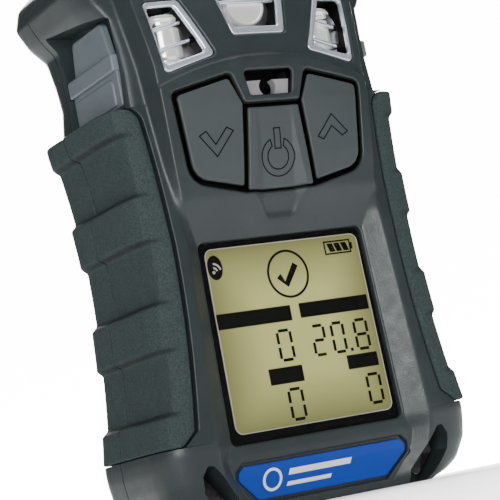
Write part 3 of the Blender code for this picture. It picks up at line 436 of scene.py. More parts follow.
OPENINGS = {
    "window": (rounded(WINDOW, 1.4), 0.0),
    "keys": (rounded(KEYS, np.concatenate([KEY_ROUND, KEY_ROUND[::-1]])), -9.0),
    "horn": (rounded(HORN, 0.8), -9.0),
    "centre_port": (rounded(CENTRE_PORT, 0.9), -8.0),
    "left_port": (rounded(LEFT_PORT, 0.9), -8.0),
    "right_port": (rounded(mirrored(LEFT_PORT), 0.9), -8.0),
}


def seam_prism(behind):
    """Everything behind the parting line, or everything in front of it."""
    sign = 1 if behind else -1
    line = SEAM[:, ::-1] - (sign * SEAM_GAP / 2, 0)
    return prism(np.concatenate([line, [(sign * 60, 125), (sign * 60, -5)]]), -60, 60, axis=0)


CAVITY_HALF = np.array([(16.0, 9.0), (17.6, 14.0), (25.6, 18.0), (25.6, 82.0), (24.6, 88.0), (24.6, 101.5),
                        (17.2, 107.5), (17.2, 115.0)])
CAVITY = prism(np.concatenate([CAVITY_HALF, mirrored(CAVITY_HALF)]), -6.6, 16.6)
print(f"{len(OPENINGS)} openings, and a seam of {SEAM_GAP} mm")

# %% [markdown]
# Moulded plastic and rubber look flat if they have one even colour. The real ones have a spark-eroded grain, a
# slow drift of shade, and a finer drift of gloss. Each finish below is one noise for the drift, one for the
# grain's bump, and ranges chosen for the piece. All read Object coordinates, so the grain has one scale.

# %% Finishes


class Finish:
    """A material with its shader, a place for new nodes and the object's own coordinates."""

    def __init__(self, name, colour, roughness, metallic=0.0, **sockets):
        self.material = bpy.data.materials.new(name)
        self.material.use_nodes = True
        self.tree = self.material.node_tree
        self.shader = self.tree.nodes["Principled BSDF"]
        self.set(self.shader, "Base Color", (*colour, 1.0))
        self.set(self.shader, "Roughness", roughness)
        self.set(self.shader, "Metallic", metallic)
        for socket, value in sockets.items():
            self.set(self.shader, socket.replace("_", " "), value)
        self.place = self.tree.nodes.new("ShaderNodeTexCoord").outputs["Object"]

    @staticmethod
    def set(node, socket, value):
        """Puts a value on a node's own socket."""
        node.inputs[socket].default_value = value

    def node(self, kind, **links):
        """A new node of a kind, with its sockets fed by the given outputs."""
        made = self.tree.nodes.new("ShaderNode" + kind)
        for socket, source in links.items():
            self.tree.links.new(source, made.inputs[socket.replace("_", " ")])
        return made

    def stretched(self, scale):
        """The object's coordinates, scaled along each axis."""
        mapping = self.node("Mapping", Vector=self.place)
        self.set(mapping, "Scale", scale)
        return mapping.outputs["Vector"]

    def noise(self, scale, detail=3.0, rough=0.55, place=None):
        """Noise with a number of waves per metre, read at the object's coordinates unless told otherwise."""
        made = self.node("TexNoise", Vector=place or self.place)
        self.set(made, "Scale", scale)
        self.set(made, "Detail", detail)
        self.set(made, "Roughness", rough)
        return made.outputs["Fac"]

    def range(self, value, low, high, new_low, new_high):
        """A value carried in a straight line from one range to another."""
        made = self.node("MapRange", Value=value)
        for socket, number in (("From Min", low), ("From Max", high), ("To Min", new_low), ("To Max", new_high)):
            self.set(made, socket, number)
        return made.outputs["Result"]

    def drift(self, value, dark, light, low=0.3, high=0.7):
        """Colour that drifts between two shades as a noise does."""
        ramp = self.node("ValToRGB", Fac=value)
        ramp.color_ramp.elements[0].position, ramp.color_ramp.elements[0].color = low, (*dark, 1.0)
        ramp.color_ramp.elements[1].position, ramp.color_ramp.elements[1].color = high, (*light, 1.0)
        self.tree.links.new(ramp.outputs["Color"], self.shader.inputs["Base Color"])
        return ramp.outputs["Color"]

    def gloss(self, value, rough_low, rough_high):
        """Roughness that drifts between two amounts as a noise does."""
        self.tree.links.new(self.range(value, 0.25, 0.75, rough_low, rough_high), self.shader.inputs["Roughness"])

    def bump(self, value, height, strength=1.0):
        """Relief from a value, with its full height in millimetres."""
        made = self.node("Bump", Height=value)
        self.set(made, "Distance", height * MM)
        self.set(made, "Strength", strength)
        last = self.shader.inputs["Normal"]
        if last.is_linked:
            self.tree.links.new(last.links[0].from_socket, made.inputs["Normal"])
        self.tree.links.new(made.outputs["Normal"], last)


def shade(colour, factor):
    """A colour times a factor, with no channel over 1."""
    return tuple(min(1.0, channel * factor) for channel in colour)


def moulded(name, colour, rough, grain_size, grain_height, spread=0.12, **sockets):
    """Moulded plastic or rubber: drifting shade and gloss, and a grain of a given size in millimetres."""
    made = Finish(name, colour, rough, **sockets)
    made.drift(made.noise(90.0, 4.0), shade(colour, 1 - spread), shade(colour, 1 + spread))
    made.gloss(made.noise(420.0, 3.0), rough - 0.06, rough + 0.08)
    made.bump(made.noise(1000.0 / grain_size, 2.0, 0.6), grain_height)
    return made


print("a finish has drift, gloss and grain")

# %% [markdown]
# The plastics differ in shade, in grain size and in how much they shine. The grips' rubber also has light
# specks, and shade is painted into its colour on the slopes between two ribs. The slopes come as an attribute
# on the grip's points, because no noise could know where they are.

# %% Plastics and rubbers
case = moulded("charcoal_case", (0.024, 0.032, 0.034), 0.36, 0.35, 0.035, Specular_IOR_Level=0.4)
grip = moulded("speckled_rubber", (0.030, 0.038, 0.038), 0.78, 0.42, 0.14, 0.1, Specular_IOR_Level=0.2)
speck = grip.noise(3000.0, 1.0)
speckled = grip.drift(speck, (0.026, 0.037, 0.037), (0.043, 0.060, 0.060), 0.36, 0.68)
# Painted shade: the rubber's colour is mixed towards near black where the 'slope' attribute is high, between the ribs.
painted_shade_attribute = grip.node("Attribute")
painted_shade_attribute.attribute_name = "slope"
darker = grip.node("Mix", Factor=grip.range(painted_shade_attribute.outputs["Fac"], 0.0, 1.0, 0.0, 0.75))
darker.data_type = "RGBA"
grip.tree.links.new(speckled, darker.inputs[6])
darker.inputs[7].default_value = (0.006, 0.009, 0.009, 1.0)
grip.tree.links.new(darker.outputs[2], grip.shader.inputs["Base Color"])
key_rubber = moulded("button_rubber", (0.040, 0.050, 0.052), 0.50, 0.25, 0.012, 0.06)
black = moulded("black_plastic", (0.002, 0.002, 0.002), 0.5, 0.3, 0.01, Specular_IOR_Level=0.12)
grey_pad = moulded("grey_pad", (0.13, 0.155, 0.17), 0.36, 0.4, 0.02, 0.1)
horn_grey = moulded("horn_grey", (0.26, 0.25, 0.255), 0.5, 0.5, 0.05, 0.3)
label_blue = moulded("label_blue", (0.001, 0.040, 0.34), 0.42, 1.2, 0.01, 0.05, Specular_IOR_Level=0.3)
ink = moulded("display_ink", (0.004, 0.004, 0.003), 0.6, 0.3, 0.002, Specular_IOR_Level=0.1)
smoked = moulded("smoked_lens", (0.010, 0.010, 0.012), 0.14, 1.5, 0.01, 0.1, Coat_Weight=0.6)
seal = moulded("seal_rubber", (0.012, 0.012, 0.012), 0.7, 0.4, 0.03)
print(f"{len(bpy.data.materials)} finishes so far")

# %% [markdown]
# Metals keep one colour and show their finish in the gloss. The clip's steel is brushed along its length, so
# its noise is squeezed along Z. The boards and the battery's wrap sit inside and are kept simple.

# %% Metals and inner pieces
chrome = Finish("bright_chrome", (0.80, 0.87, 0.97), 0.20, 0.7)
chrome.gloss(chrome.noise(300.0), 0.14, 0.30)
chrome.bump(chrome.noise(700.0, 2.0), 0.02)

steel = Finish("brushed_steel", (0.40, 0.40, 0.40), 0.32, 1.0)
brush = steel.noise(900.0, 3.0, 0.6, steel.stretched((1.0, 1.0, 0.06)))
steel.gloss(brush, 0.22, 0.42)
steel.bump(brush, 0.02)

frosted = Finish("white_filter", (0.86, 0.86, 0.84), 0.6)
frosted.drift(frosted.noise(500.0), (0.78, 0.78, 0.76), (0.92, 0.92, 0.90))
frosted.bump(frosted.noise(2600.0, 2.0), 0.05)

gold = Finish("gold_contact", (0.83, 0.60, 0.24), 0.25, 1.0)
gold.gloss(gold.noise(800.0), 0.16, 0.34)

# The cell's emission is a painted glow, as the cell is no lamp.
bright = Finish("polished_cell_painted_glow", (0.97, 0.96, 0.94), 0.16, 0.55, Emission_Color=(1.0, 1.0, 1.0, 1.0),
                Emission_Strength=0.2)
bright.gloss(bright.noise(260.0), 0.10, 0.24)
bright.bump(bright.noise(500.0, 2.0), 0.03)

board = moulded("green_board", (0.015, 0.15, 0.06), 0.4, 2.0, 0.03, 0.25)
wrap = moulded("battery_wrap", (0.03, 0.06, 0.2), 0.3, 3.0, 0.05, 0.15)
print(f"{len(bpy.data.materials)} finishes so far")

# %% [markdown]
# The display glows faintly of its own, and shade is painted into its colour towards the edges: the larger of
# the distances along X and Z, each 1 at the border, picks a shade from a ramp, darker near the border. The
# window over it is clear, so nearly all of it is see-through and only its gloss is left.

# %% Display and window
olive = Finish("olive_display", (0.30, 0.285, 0.13), 0.55, Specular_IOR_Level=0.2,
               Emission_Color=(0.50, 0.47, 0.15, 1.0), Emission_Strength=0.22)
split = olive.node("SeparateXYZ", Vector=olive.place)
spans = (("X", -0.0186, 0.0194), ("Z", 0.0160, 0.0538))
reach = [olive.node("Math", Value=olive.range(split.outputs[axis], low, high, -1.0, 1.0))
         for axis, low, high in spans]
for node in reach:
    node.operation = "ABSOLUTE"
edge_most = olive.node("Math", Value=reach[0].outputs["Value"])
edge_most.operation = "SMOOTH_MAX"
olive.set(edge_most, 2, 0.25)
olive.tree.links.new(reach[1].outputs["Value"], edge_most.inputs[1])
# Painted shade: the display's colour and its glow both darken towards the border.
painted_edge_shade = olive.drift(edge_most.outputs["Value"], (0.46, 0.465, 0.17), (0.19, 0.19, 0.07), 0.45, 1.08)
olive.tree.links.new(painted_edge_shade, olive.shader.inputs["Emission Color"])
olive.bump(olive.noise(3000.0, 1.0), 0.002)

clear = Finish("clear_window", (0.01, 0.01, 0.01), 0.03, Alpha=0.05)
clear.gloss(clear.noise(200.0), 0.02, 0.07)
clear.material.surface_render_method = "BLENDED"
print(f"the display fades over {spans[0][2] - spans[0][1]:.4f} m across")

# %% [markdown]
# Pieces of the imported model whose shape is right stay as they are, and only get a finish. The rest of them are
# steel. Most of these sit inside the case.

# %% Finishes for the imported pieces
CARRIED = {
    "battery_pack": wrap, "case_gasket": seal, "keypad_membrane": black, "key_board": board, "main_board": board,
    "sensor_board": board, "lcd_backlight": frosted, "horn_buzzer": black, "down_switch": black, "power_switch": black,
    "up_switch": black, "motor_weight": gold, "charge_contact_left": gold, "charge_contact_right": gold,
    "centre_dust_filter": frosted, "left_dust_filter": frosted, "right_dust_filter": frosted,
    "lower_left_alarm_lens": smoked, "lower_right_alarm_lens": smoked, "label_plate": label_blue,
    "display_bezel": black,
}
for name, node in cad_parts.items():
    for place in node.material_slots:
        place.material = CARRIED.get(name, steel).material
print(f"{len(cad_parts)} packed pieces carry {len(set(CARRIED.values())) + 1} of the finishes")

# %% [markdown]
# The two shells of the case come from the same loft, so they meet exactly at the parting line. The front shell
# also loses its openings, the two triangular pockets in the lower corners and the recesses beside the head.

# %% The two shells


def catch_recess(side):
    """A prism along X that leaves a four-cornered recess beside the head."""
    outline = [(CATCH_FRONT, CATCH_LOW), (CATCH_BACK, CATCH_LOW), (CATCH_BACK, CATCH_HIGH),
               (CATCH_FRONT, CATCH_HIGH - 2.4)]
    return prism(rounded(outline, 0.6), *sorted((side * (HEAD - CATCH_DEEP), side * 44.0)), axis=0)


pockets = [prism(rounded(shape, 0.7), -16.0, -2.0) for shape in (POCKET, mirrored(POCKET))]
front_cuts = [prism(dense(grown(outline, EDGE), 0.6), -30.0, floor) for outline, floor in OPENINGS.values()]
front_cuts += [slab(rounded(grown(LABEL, 0.7 + EDGE), 0.8), -3.0, 1.0), *pockets, catch_recess(1), catch_recess(-1)]
front_cuts += [slab(rounded(lens, 1.2), -3.0, 2.2) for lens in (UPPER_LENS, mirrored(UPPER_LENS))]
front_mesh = cut_mesh("front_shell", (case_points, case_faces), [seam_prism(True), CAVITY, *front_cuts])
piece("front_shell", front_mesh, case.material, stands_for=["front_housing"])

SCREW_SPOTS = [(-22.6, 11.8), (22.6, 11.8), (-22.6, 110.6), (22.6, 110.6)]
rear_cuts = [seam_prism(False), CAVITY]
rear_cuts += [round_bar(spot, 2.9, BACK - 3.0, 40.0) for spot in SCREW_SPOTS]
rear_cuts += [round_bar((x, 12.0), 2.1, BACK - 0.8, 30.0) for x in (-6.0, 6.0)]
rear_mesh = cut_mesh("rear_shell", (case_points, case_faces), rear_cuts)
piece("rear_shell", rear_mesh, case.material, stands_for=["rear_housing"])
print(f"shells: {len(front_mesh.polygons)} and {len(rear_mesh.polygons)} faces")

# %% [markdown]
# A real moulding has a small round on the rim of every opening, and it is what catches the light. Here a rim is
# a profile carried round the outline: level with the front at its outer edge, a quarter turn inwards, and then
# the opening's wall. It follows the front's curve because every point's depth is read from the same function.

# %% Rounded rims


def swept_rim(outline, profile, depth_at=front):
    """A closed profile of (outward, inward) offsets carried round an outline on the front."""
    path = dense(outline, 0.5)
    out = outward(path)
    profile = np.asarray(profile, float)
    flat = path[:, None] + out[:, None] * profile[None, :, :1]
    level = depth_at(flat[..., 0], flat[..., 1]) + profile[None, :, 1]
    points = np.stack([flat[..., 0], level, flat[..., 1]], axis=-1)
    return points.reshape(-1, 3), grid_faces(len(path), len(profile), wrap_rows=True, wrap_columns=True)


def rim_profile(radius, wall, lift=0.0):
    """A quarter round from the front into the opening, the wall down to a depth, and a back that is buried."""
    turn = np.linspace(0, math.pi / 2, 7)
    curve = np.column_stack([radius * (1 - np.sin(turn)), radius * (1 - np.cos(turn)) + lift])
    buried = [(0.0, wall), (radius + 0.5, wall), (radius + 0.5, radius * 0.4), (radius, 0.01 + lift)]
    return np.concatenate([curve, buried])


WALLS = {"window": 1.9, "keys": 2.2, "horn": 2.4, "centre_port": 2.4, "left_port": 2.4, "right_port": 2.4}
rims = [swept_rim(outline, rim_profile(EDGE, WALLS[name])) for name, (outline, _) in OPENINGS.items()]
rims.append(swept_rim(rounded(grown(LABEL, 0.7), 0.8), rim_profile(EDGE, 0.95)))
# The black walls inside the key and horn openings are painted shadow in the gaps round the buttons and the horn.
painted_gap_shadows = [swept_rim(OPENINGS["keys"][0], [(0.05, 0.40), (-0.28, 0.52), (-0.28, 2.2), (0.05, 2.2)]),
              swept_rim(OPENINGS["horn"][0], [(0.05, 0.40), (-0.12, 0.50), (-0.12, 2.4), (0.05, 2.4)])]
piece("opening_shadow_walls", mesh_from("opening_shadow_walls", *joined(*painted_gap_shadows)), black.material)
piece("opening_rims", mesh_from("opening_rims", *joined(*rims), crease=60.0), case.material)
print(f"{len(rims)} rims and {len(painted_gap_shadows)} shadow_walls")

# %% [markdown]
# The grips are soft rubber, overmoulded with broad ribs. One function gives the height of the rubber over the
# hollow between two ribs, with soft slopes. The front grip turns from the groove beside the rail round to the
# side, and the hollows begin behind its front border.

# %% Rubber grips
CREST = 80.6  # height of the uppermost rib's lower edge
RIB_PITCH, RIB_TALL, RIB_HIGH, GRIP_LOW, GRIP_HIGH = 22.0, 7.9, 1.9, 16.65, 85.1


def rib(z):
    """1 on a rib and 0 in a hollow, from the distance along the pitch, with a soft slope on both sides."""
    slope = 1.6
    along = (CREST + RIB_TALL - z) % RIB_PITCH
    past = np.minimum(along - RIB_TALL, RIB_PITCH - along)
    return np.where(along <= RIB_TALL, 1.0, smooth(1 - past / slope))


def grip_levels():
    """Heights of the grip's rings: close together at both ends and even between them."""
    ends = np.array([0, 0.06, 0.18, 0.36, 0.6, 0.9, 1.3, 1.8])
    return np.concatenate([GRIP_LOW + ends, np.arange(GRIP_LOW + 2.1, GRIP_HIGH - 1.9, 0.35), GRIP_HIGH - ends[::-1]])


def drawn_in(z, radius=0.45):
    """How far the rubber's surface turns in at its ends: a quarter round."""
    near = np.clip(radius - np.minimum(z - GRIP_LOW, GRIP_HIGH - z), 0, radius)
    return radius - np.sqrt(radius**2 - near**2)


print(f"the ribs repeat every {RIB_PITCH:.0f} mm and stand {RIB_HIGH} mm high")

# %% [markdown]
# Each grip is a closed loft: a ring of corners at each height, with every corner turned into a short curve. The
# corners follow the same functions as the case, so the rubber lies in its groove all the way. How steep the
# rubber is at each point is kept as an attribute, for the shade that the finish paints on the slopes.

# %% Grip meshes


def soft_path(corners, radii, steps=5):
    """Arrays of points round a polygon with each corner turned into a short Bezier arc."""
    nodes = np.stack([np.stack(np.broadcast_arrays(x, y), -1) for x, y in corners])
    before, after = np.roll(nodes, 1, 0) - nodes, np.roll(nodes, -1, 0) - nodes
    result = []
    t = np.linspace(0, 1, steps)[None, :, None]
    for node, back, ahead, radius in zip(nodes, before, after, radii):
        long_back = np.maximum(np.linalg.norm(back, axis=1, keepdims=True), 1e-6)
        long_ahead = np.maximum(np.linalg.norm(ahead, axis=1, keepdims=True), 1e-6)
        a = node + back / long_back * np.minimum(radius, long_back * 0.48)
        b = node + ahead / long_ahead * np.minimum(radius, long_ahead * 0.48)
        result.append((1 - t) ** 2 * a[:, None] + 2 * t * (1 - t) * node[:, None] + t**2 * b[:, None])
    return np.concatenate(result, axis=1)


def grip_mesh(name, side, front_part):
    """Rings of corners over the grip's height, joined into a closed tube, for the front or the rear half."""
    z = grip_levels()
    draft, rise = drawn_in(z), rib(z)
    rib_out, core, rail = side_half(z) - draft, side_half(z) - 2.9, section("rail", z)
    drop = RIB_HIGH * (1 - rise)
    seam = np.interp(z, SEAM[:, 0], SEAM[:, 1])
    if front_part:
        groove = groove_half(np.clip(z, SEAT_LOW, SEAT_HIGH)) + 0.3
        ridge = rib_out - 1.5 - 0.9 * (1 - rise)
        corners = [(groove, rail + 0.35 + draft), (groove + 1.2, rail + 0.1 + draft),
                   (np.maximum(ridge, groove + 1.6), rail + 1.0 + draft), (rib_out - drop - 0.25, rail + 4.2),
                   (rib_out - drop, rail + 6.4), (rib_out - drop, seam - 0.2), (core, seam - 0.2), (core, rail + 6.3),
                   (np.maximum(core - 2.2, groove + 0.4), rail + 2.9), (groove, rail + 2.0)]
        radii = [0.35, 0.5, 0.8, 0.8, 0.9, 0.3, 0.1, 0.1, 0.1, 0.1]
    else:
        back = section("heel", z) + 0.3 - draft
        wrap, floor = side_half(z) - 7.65, BACK - 2.0
        corners = [(rib_out - drop, seam + 0.2), (rib_out - drop, back - 3.6), (rib_out - 0.9 - 0.6 * drop, back - 1.2),
                   (rib_out - 3.4 - drop * 0.3, back - 0.2 - drop * 0.3), (wrap, BACK - draft), (wrap, floor),
                   (core - 4.0, floor), (core - 1.1, floor - 1.0), (core, floor - 4.0), (core, seam + 0.2)]
        radii = [0.3, 1.2, 0.9, 1.2, 0.5, 0.1, 0.1, 0.1, 0.1, 0.1]
    ring = soft_path(corners, radii)
    points = np.stack([side * ring[..., 0], ring[..., 1], np.broadcast_to(z[:, None], ring.shape[:2])], -1)
    made = mesh_from(name, *tube(points), crease=48.0)
    # The 'slope' attribute holds painted shade for the hollows between the ribs.
    made.attributes.new("slope", "FLOAT", "POINT").data.foreach_set("value", painted_slope_shade(made))
    return made


def painted_slope_shade(mesh):
    """Painted shade for the rubber: 1 half way up a rib's slope and 0 on the flats, fading out over the rubber's front
    and rear borders.
    """
    spot = np.empty(len(mesh.vertices) * 3)
    mesh.vertices.foreach_get("co", spot)
    x, y, z = (spot.reshape(-1, 3) / MM + (0, 0, BASE)).T
    rise = rib(z)
    border = smooth((np.abs(x) - side_half(z) + 4.2) / 1.6)
    return (4 * rise * (1 - rise) * border).astype(np.float32)


for side_name, side in (("left", -1), ("right", 1)):
    for part_name, is_front in (("front", True), ("rear", False)):
        name = f"{side_name}_{part_name}_rubber"
        made = grip_mesh(name, side, is_front)
        piece(name, made, grip.material, stands_for=[f"{side_name}_{part_name}_grip"])
print(f"a grip has {len(made.polygons)} faces")

# %% [markdown]
# The display is a flat sheet of olive glass in a black surround, under a clear window. Its marks are real, thin
# shapes that lie on the glass. A pale line runs round the glass, where its ground edge shows.

# %% Display
GLASS = -8.2  # depth of the display's front
SCREEN = rounded([(-18.55, 17.35), (19.4, 17.35), (18.85, 55.1), (-17.9, 55.1)], 1.5)


def flat_face(x, z):
    """The display's own depth, the same everywhere."""
    return 0 * np.asarray(x) + GLASS


piece("olive_glass", mesh_from("olive_glass", *prism(SCREEN, GLASS, GLASS + 1.0)), olive.material,
      stands_for=["lcd_panel"])
line = [(0.0, -0.04), (0.17, -0.04), (0.17, 0.5), (0.0, 0.5)]
pale = moulded("glass_edge", (0.5, 0.5, 0.42), 0.3, 1.0, 0.005)
piece("glass_edge", mesh_from("glass_edge", *swept_rim(SCREEN, line, flat_face)), pale.material)
surround = prism(dense(rounded(WINDOW, 1.4), 0.6), GLASS + 0.25, GLASS + 1.2)
piece("black_surround", mesh_from("black_surround", *surround), black.material)
piece("clear_pane", mesh_from("clear_pane", *prism(rounded(grown(WINDOW, -0.3), 1.1), -8.95, -8.6)), clear.material,
      stands_for=["display_window"])
print(f"the glass lies {GLASS - SCREEN_FACE:.1f} mm behind the face")

# %% [markdown]
# A mark is a line with a width, made as a thin closed strip. A figure has up to seven segments, as on a real
# display, and each segment is one short line between two points of the figure's box.

# %% Tools for marks


def stroke(points, width, closed=False):
    """A line of a given width along points, as a flat outline strip."""
    p = np.asarray(points, float)
    if closed:
        out = outward(p) * width / 2
    else:
        along = np.gradient(p, axis=0)
        along /= np.linalg.norm(along, axis=1, keepdims=True)
        out = np.column_stack([along[:, 1], -along[:, 0]]) * width / 2
    return p + out, p - out


def strip_solid(outer, inner, low, high, closed, depth_at=None):
    """A solid between two lines of points, with its front and back at two depths."""
    ring = []
    for line_points, level in ((outer, low), (inner, low), (inner, high), (outer, high)):
        base = depth_at(line_points[:, 0], line_points[:, 1]) if depth_at else 0.0
        ring.append(np.column_stack([line_points[:, 0], base + level + 0 * line_points[:, 0], line_points[:, 1]]))
    points = np.stack(ring, axis=1)
    rows = len(points)
    faces = grid_faces(rows, 4, wrap_rows=closed, wrap_columns=True)
    if not closed:
        faces += [[0, 1, 2, 3], [4 * rows - 1, 4 * rows - 2, 4 * rows - 3, 4 * rows - 4]]
    return points.reshape(-1, 3), faces


INK_LOW, INK_HIGH = GLASS - 0.05, GLASS + 0.05


def ink_shape(outline):
    """A filled mark: its outline carried through the ink's thickness."""
    return prism(outline, INK_LOW, INK_HIGH)


def ink_line(points, width, closed=False):
    """A drawn line: a strip of a given width through the ink's thickness."""
    return strip_solid(*stroke(points, width, closed), INK_LOW, INK_HIGH, closed)


SEGMENTS = {"a": ((0.12, 1), (0.88, 1)), "b": ((1, 0.94), (1, 0.56)), "c": ((1, 0.44), (1, 0.06)),
            "d": ((0.12, 0), (0.88, 0)), "e": ((0, 0.44), (0, 0.06)), "f": ((0, 0.94), (0, 0.56)),
            "g": ((0.12, 0.5), (0.88, 0.5))}
DIGITS = {"0": "abcdef", "2": "abged", "8": "abcdefg"}


def digit(figure, low, high, width=0.62):
    """A seven-segment figure: each lit segment is a bar between two corners of the figure's box."""
    low, high = np.asarray(low, float), np.asarray(high, float)
    return [ink_line(low + (high - low) * np.array(SEGMENTS[segment]), width) for segment in DIGITS[figure]]


print(f"the ink is {INK_HIGH - INK_LOW:.1f} mm thick")

# %% [markdown]
# The marks: a ring with a tick, four plain bars, the readings, and signs for the battery and the wireless link.

# %% Marks on the display
marks = []
turn = np.linspace(0, 2 * math.pi, 49)[:-1]
circle = np.column_stack([np.cos(turn), np.sin(turn)])
marks.append(ink_line(np.array([0.6, 48.35]) + circle * (4.75, 4.85), 0.5, True))
marks.append(ink_line([(-1.75, 48.1), (-0.15, 46.2), (2.7, 50.2)], 1.35))
for low, high in (((-18.2, 38.65), (-0.55, 41.85)), ((1.6, 38.85), (18.6, 41.95)), ((-8.6, 25.95), (-0.5, 29.3)),
                  ((10.65, 26.75), (18.25, 29.7))):
    (x0, z0), (x1, z1) = low, high
    marks.append(ink_shape([(x0, z0), (x1, z0), (x1, z1), (x0, z1)]))
for figure, low, high in (("0", (-4.9, 30.7), (-1.8, 36.8)), ("2", (3.5, 30.7), (6.3, 36.8)),
                          ("0", (8.3, 30.7), (11.1, 36.8)), ("8", (14.0, 30.7), (17.0, 36.8)),
                          ("0", (-4.9, 18.4), (-1.8, 24.6)), ("0", (14.5, 19.1), (17.6, 25.1))):
    marks += digit(figure, low, high)
marks.append(ink_shape([(12.1, 30.5), (12.75, 30.5), (12.75, 31.15), (12.1, 31.15)]))
marks.append(ink_line([(10.7, 51.4), (17.0, 51.4), (17.0, 54.0), (10.7, 54.0)], 0.32, True))
marks.append(ink_shape([(17.1, 52.0), (17.6, 52.0), (17.6, 53.4), (17.1, 53.4)]))
marks += [ink_shape([(x, 51.8), (x + 1.35, 51.8), (x + 0.75, 53.6), (x - 0.6, 53.6)]) for x in (11.9, 13.6, 15.3)]
marks.append(ink_shape(np.array([-16.25, 51.4]) + circle * (1.75, 2.55)))
piece("display_marks", mesh_from("display_marks", *joined(*marks)), ink.material)
angle = np.linspace(0.1, 1.35, 9)
waves = [np.array([-16.75, 50.5]) + size * np.column_stack([np.sin(angle), np.cos(angle)]) for size in (0.9, 1.75)]
waves = [strip_solid(*stroke(wave, 0.38), GLASS - 0.08, GLASS, False) for wave in waves]
dot = prism(np.array([-16.7, 50.45]) + circle * 0.33, GLASS - 0.08, GLASS)
piece("wireless_sign", mesh_from("wireless_sign", *joined(*waves, dot)), pale.material)
print(f"{len(marks)} marks on the display")

# %% [markdown]
# Three rubber buttons fill one opening. Each cap is a slab of the front itself, with a soft edge, and it
# rides on its own body so that it can be pressed. The signs are narrow sunk lines.

# %% Buttons
GROOVE = 1.1


def cap(outline, lift, thick, edge=0.35):
    """A slab of the front with a quarter round on its edge. Its rows shrink from the edge to the middle."""
    flat = dense(outline, 0.45)
    out, turn = outward(flat), np.linspace(0, math.pi / 2, 7)
    inset = np.concatenate([[0], edge * (1 - np.cos(turn))])
    level = np.concatenate([[thick], lift + edge * (1 - np.sin(turn))])
    rows = flat[None] - out[None] * inset[:, None, None]
    shrink = np.linspace(1, 0.02, 34)[1:, None, None]
    middle = flat.mean(0) + (rows[-1] - flat.mean(0)) * shrink
    rows, level = np.concatenate([rows, middle]), np.concatenate([level, np.full(len(middle), lift)])
    x, z = rows[..., 0], rows[..., 1]
    return tube(np.stack([x, front(x, z) + level[:, None], z], axis=-1))


inset_key = grown(KEY_HALF, -GROOVE)
inset_key[0, 0] -= GROOVE / 2
inset_key[4, 0] -= GROOVE / 2
UP_KEY = rounded(inset_key, [0.5, 4.0, 1.0, 0.8, 0.7])
DOWN_KEY = mirrored(UP_KEY)
POWER_HALF = [(8.35 - GROOVE / 2, 65.3 + GROOVE * 0.45), (6.6 - GROOVE / 2, 83.3 - GROOVE)]
POWER_KEY = rounded(np.concatenate([POWER_HALF, mirrored(POWER_HALF)]), 0.35)
KEY_LIFT = -0.05
print(f"the middle button is {np.ptp(POWER_KEY[:, 1]):.1f} mm tall")

# %% [markdown]
# Each sign is drawn as its outline, as it is moulded on the real button: two arrows, and a ring with a bar.
# Below every cap hangs a thin dark skirt, which is the shadow gap between the button and its opening. The caps
# stop well short of the membrane behind them, so there is room for the press.

# %% Signs, caps and skirts
SIGNS = {
    "down": [[(-14.4, 72.9), (-17.9, 77.3), (-16.3, 78.15), (-14.45, 75.35), (-11.6, 78.6), (-10.15, 77.85)]],
    "up": [[(14.05, 79.75), (10.05, 75.25), (11.4, 74.6), (13.8, 77.3), (16.3, 75.15), (17.75, 75.95)]],
}


def arc(centre, radius, first, last, steps):
    """Points on a circle between two angles in degrees, counted clockwise from straight up."""
    turn = np.radians(np.linspace(first, last, steps))
    return np.asarray(centre) + radius * np.column_stack([np.sin(turn), np.cos(turn)])


ring_centre = (0.15, 71.95)
ring_sign = np.concatenate([arc(ring_centre, 3.9, 26, 334, 40), arc(ring_centre, 2.5, 328, 32, 34)])
SIGNS["power"] = [ring_sign, [(-0.5, 73.6), (0.95, 73.6), (0.95, 77.7), (-0.5, 77.7)]]


def sign(outline):
    """A narrow dark line round a sign, let into the button's face and standing a hair over it."""
    path = dense(outline, 0.35)
    return strip_solid(*stroke(path, 0.25, True), KEY_LIFT - 0.03, KEY_LIFT + 0.3, True, front)


for name, outline, deep in (("up", UP_KEY, 1.5), ("down", DOWN_KEY, 1.5), ("power", POWER_KEY, 0.85)):
    mesh = mesh_from(f"{name}_cap", *cap(outline, KEY_LIFT, deep), crease=50.0)
    piece(f"{name}_cap", mesh, key_rubber.material, f"{name}_button", stands_for=[f"{name}_button"])
    skirt = swept_rim(outline, [(-0.1, 0.40), (0.1, 0.46), (0.1, deep - 0.05), (-0.1, deep - 0.05)])
    piece(f"{name}_skirt", mesh_from(f"{name}_skirt", *skirt), black.material, f"{name}_button")
    marks = mesh_from(f"{name}_sign", *joined(*[sign(shape) for shape in SIGNS[name]]))
    piece(f"{name}_sign", marks, black.material, f"{name}_button")
    print(f"the {name} button's cap has {len(mesh.polygons)} faces")

# %% [markdown]
# Four more shapes serve the rest of the object: a plate with a rounded rim, a lathe shape, a ring between two
# outlines, and a round bar with domed ends. Each is a profile carried along a path.

# %% Plates, lathe shapes, frames and rods


def pillow(outline, low, high, edge=0.4, axis=1):
    """A plate whose far rim, at the high level, is rounded by a quarter turn."""
    flat = np.asarray(outline, float)
    turn = np.linspace(0, math.pi / 2, 6)
    inset = np.concatenate([[0], edge * (1 - np.cos(turn))])
    away = math.copysign(1, high - low)
    level = np.concatenate([[low], high - away * edge * (1 - np.sin(turn))])
    rows = flat[None] - outward(flat)[None] * inset[:, None, None]
    return tube(np.insert(rows, axis, np.broadcast_to(level[:, None], rows.shape[:2]), axis=2))


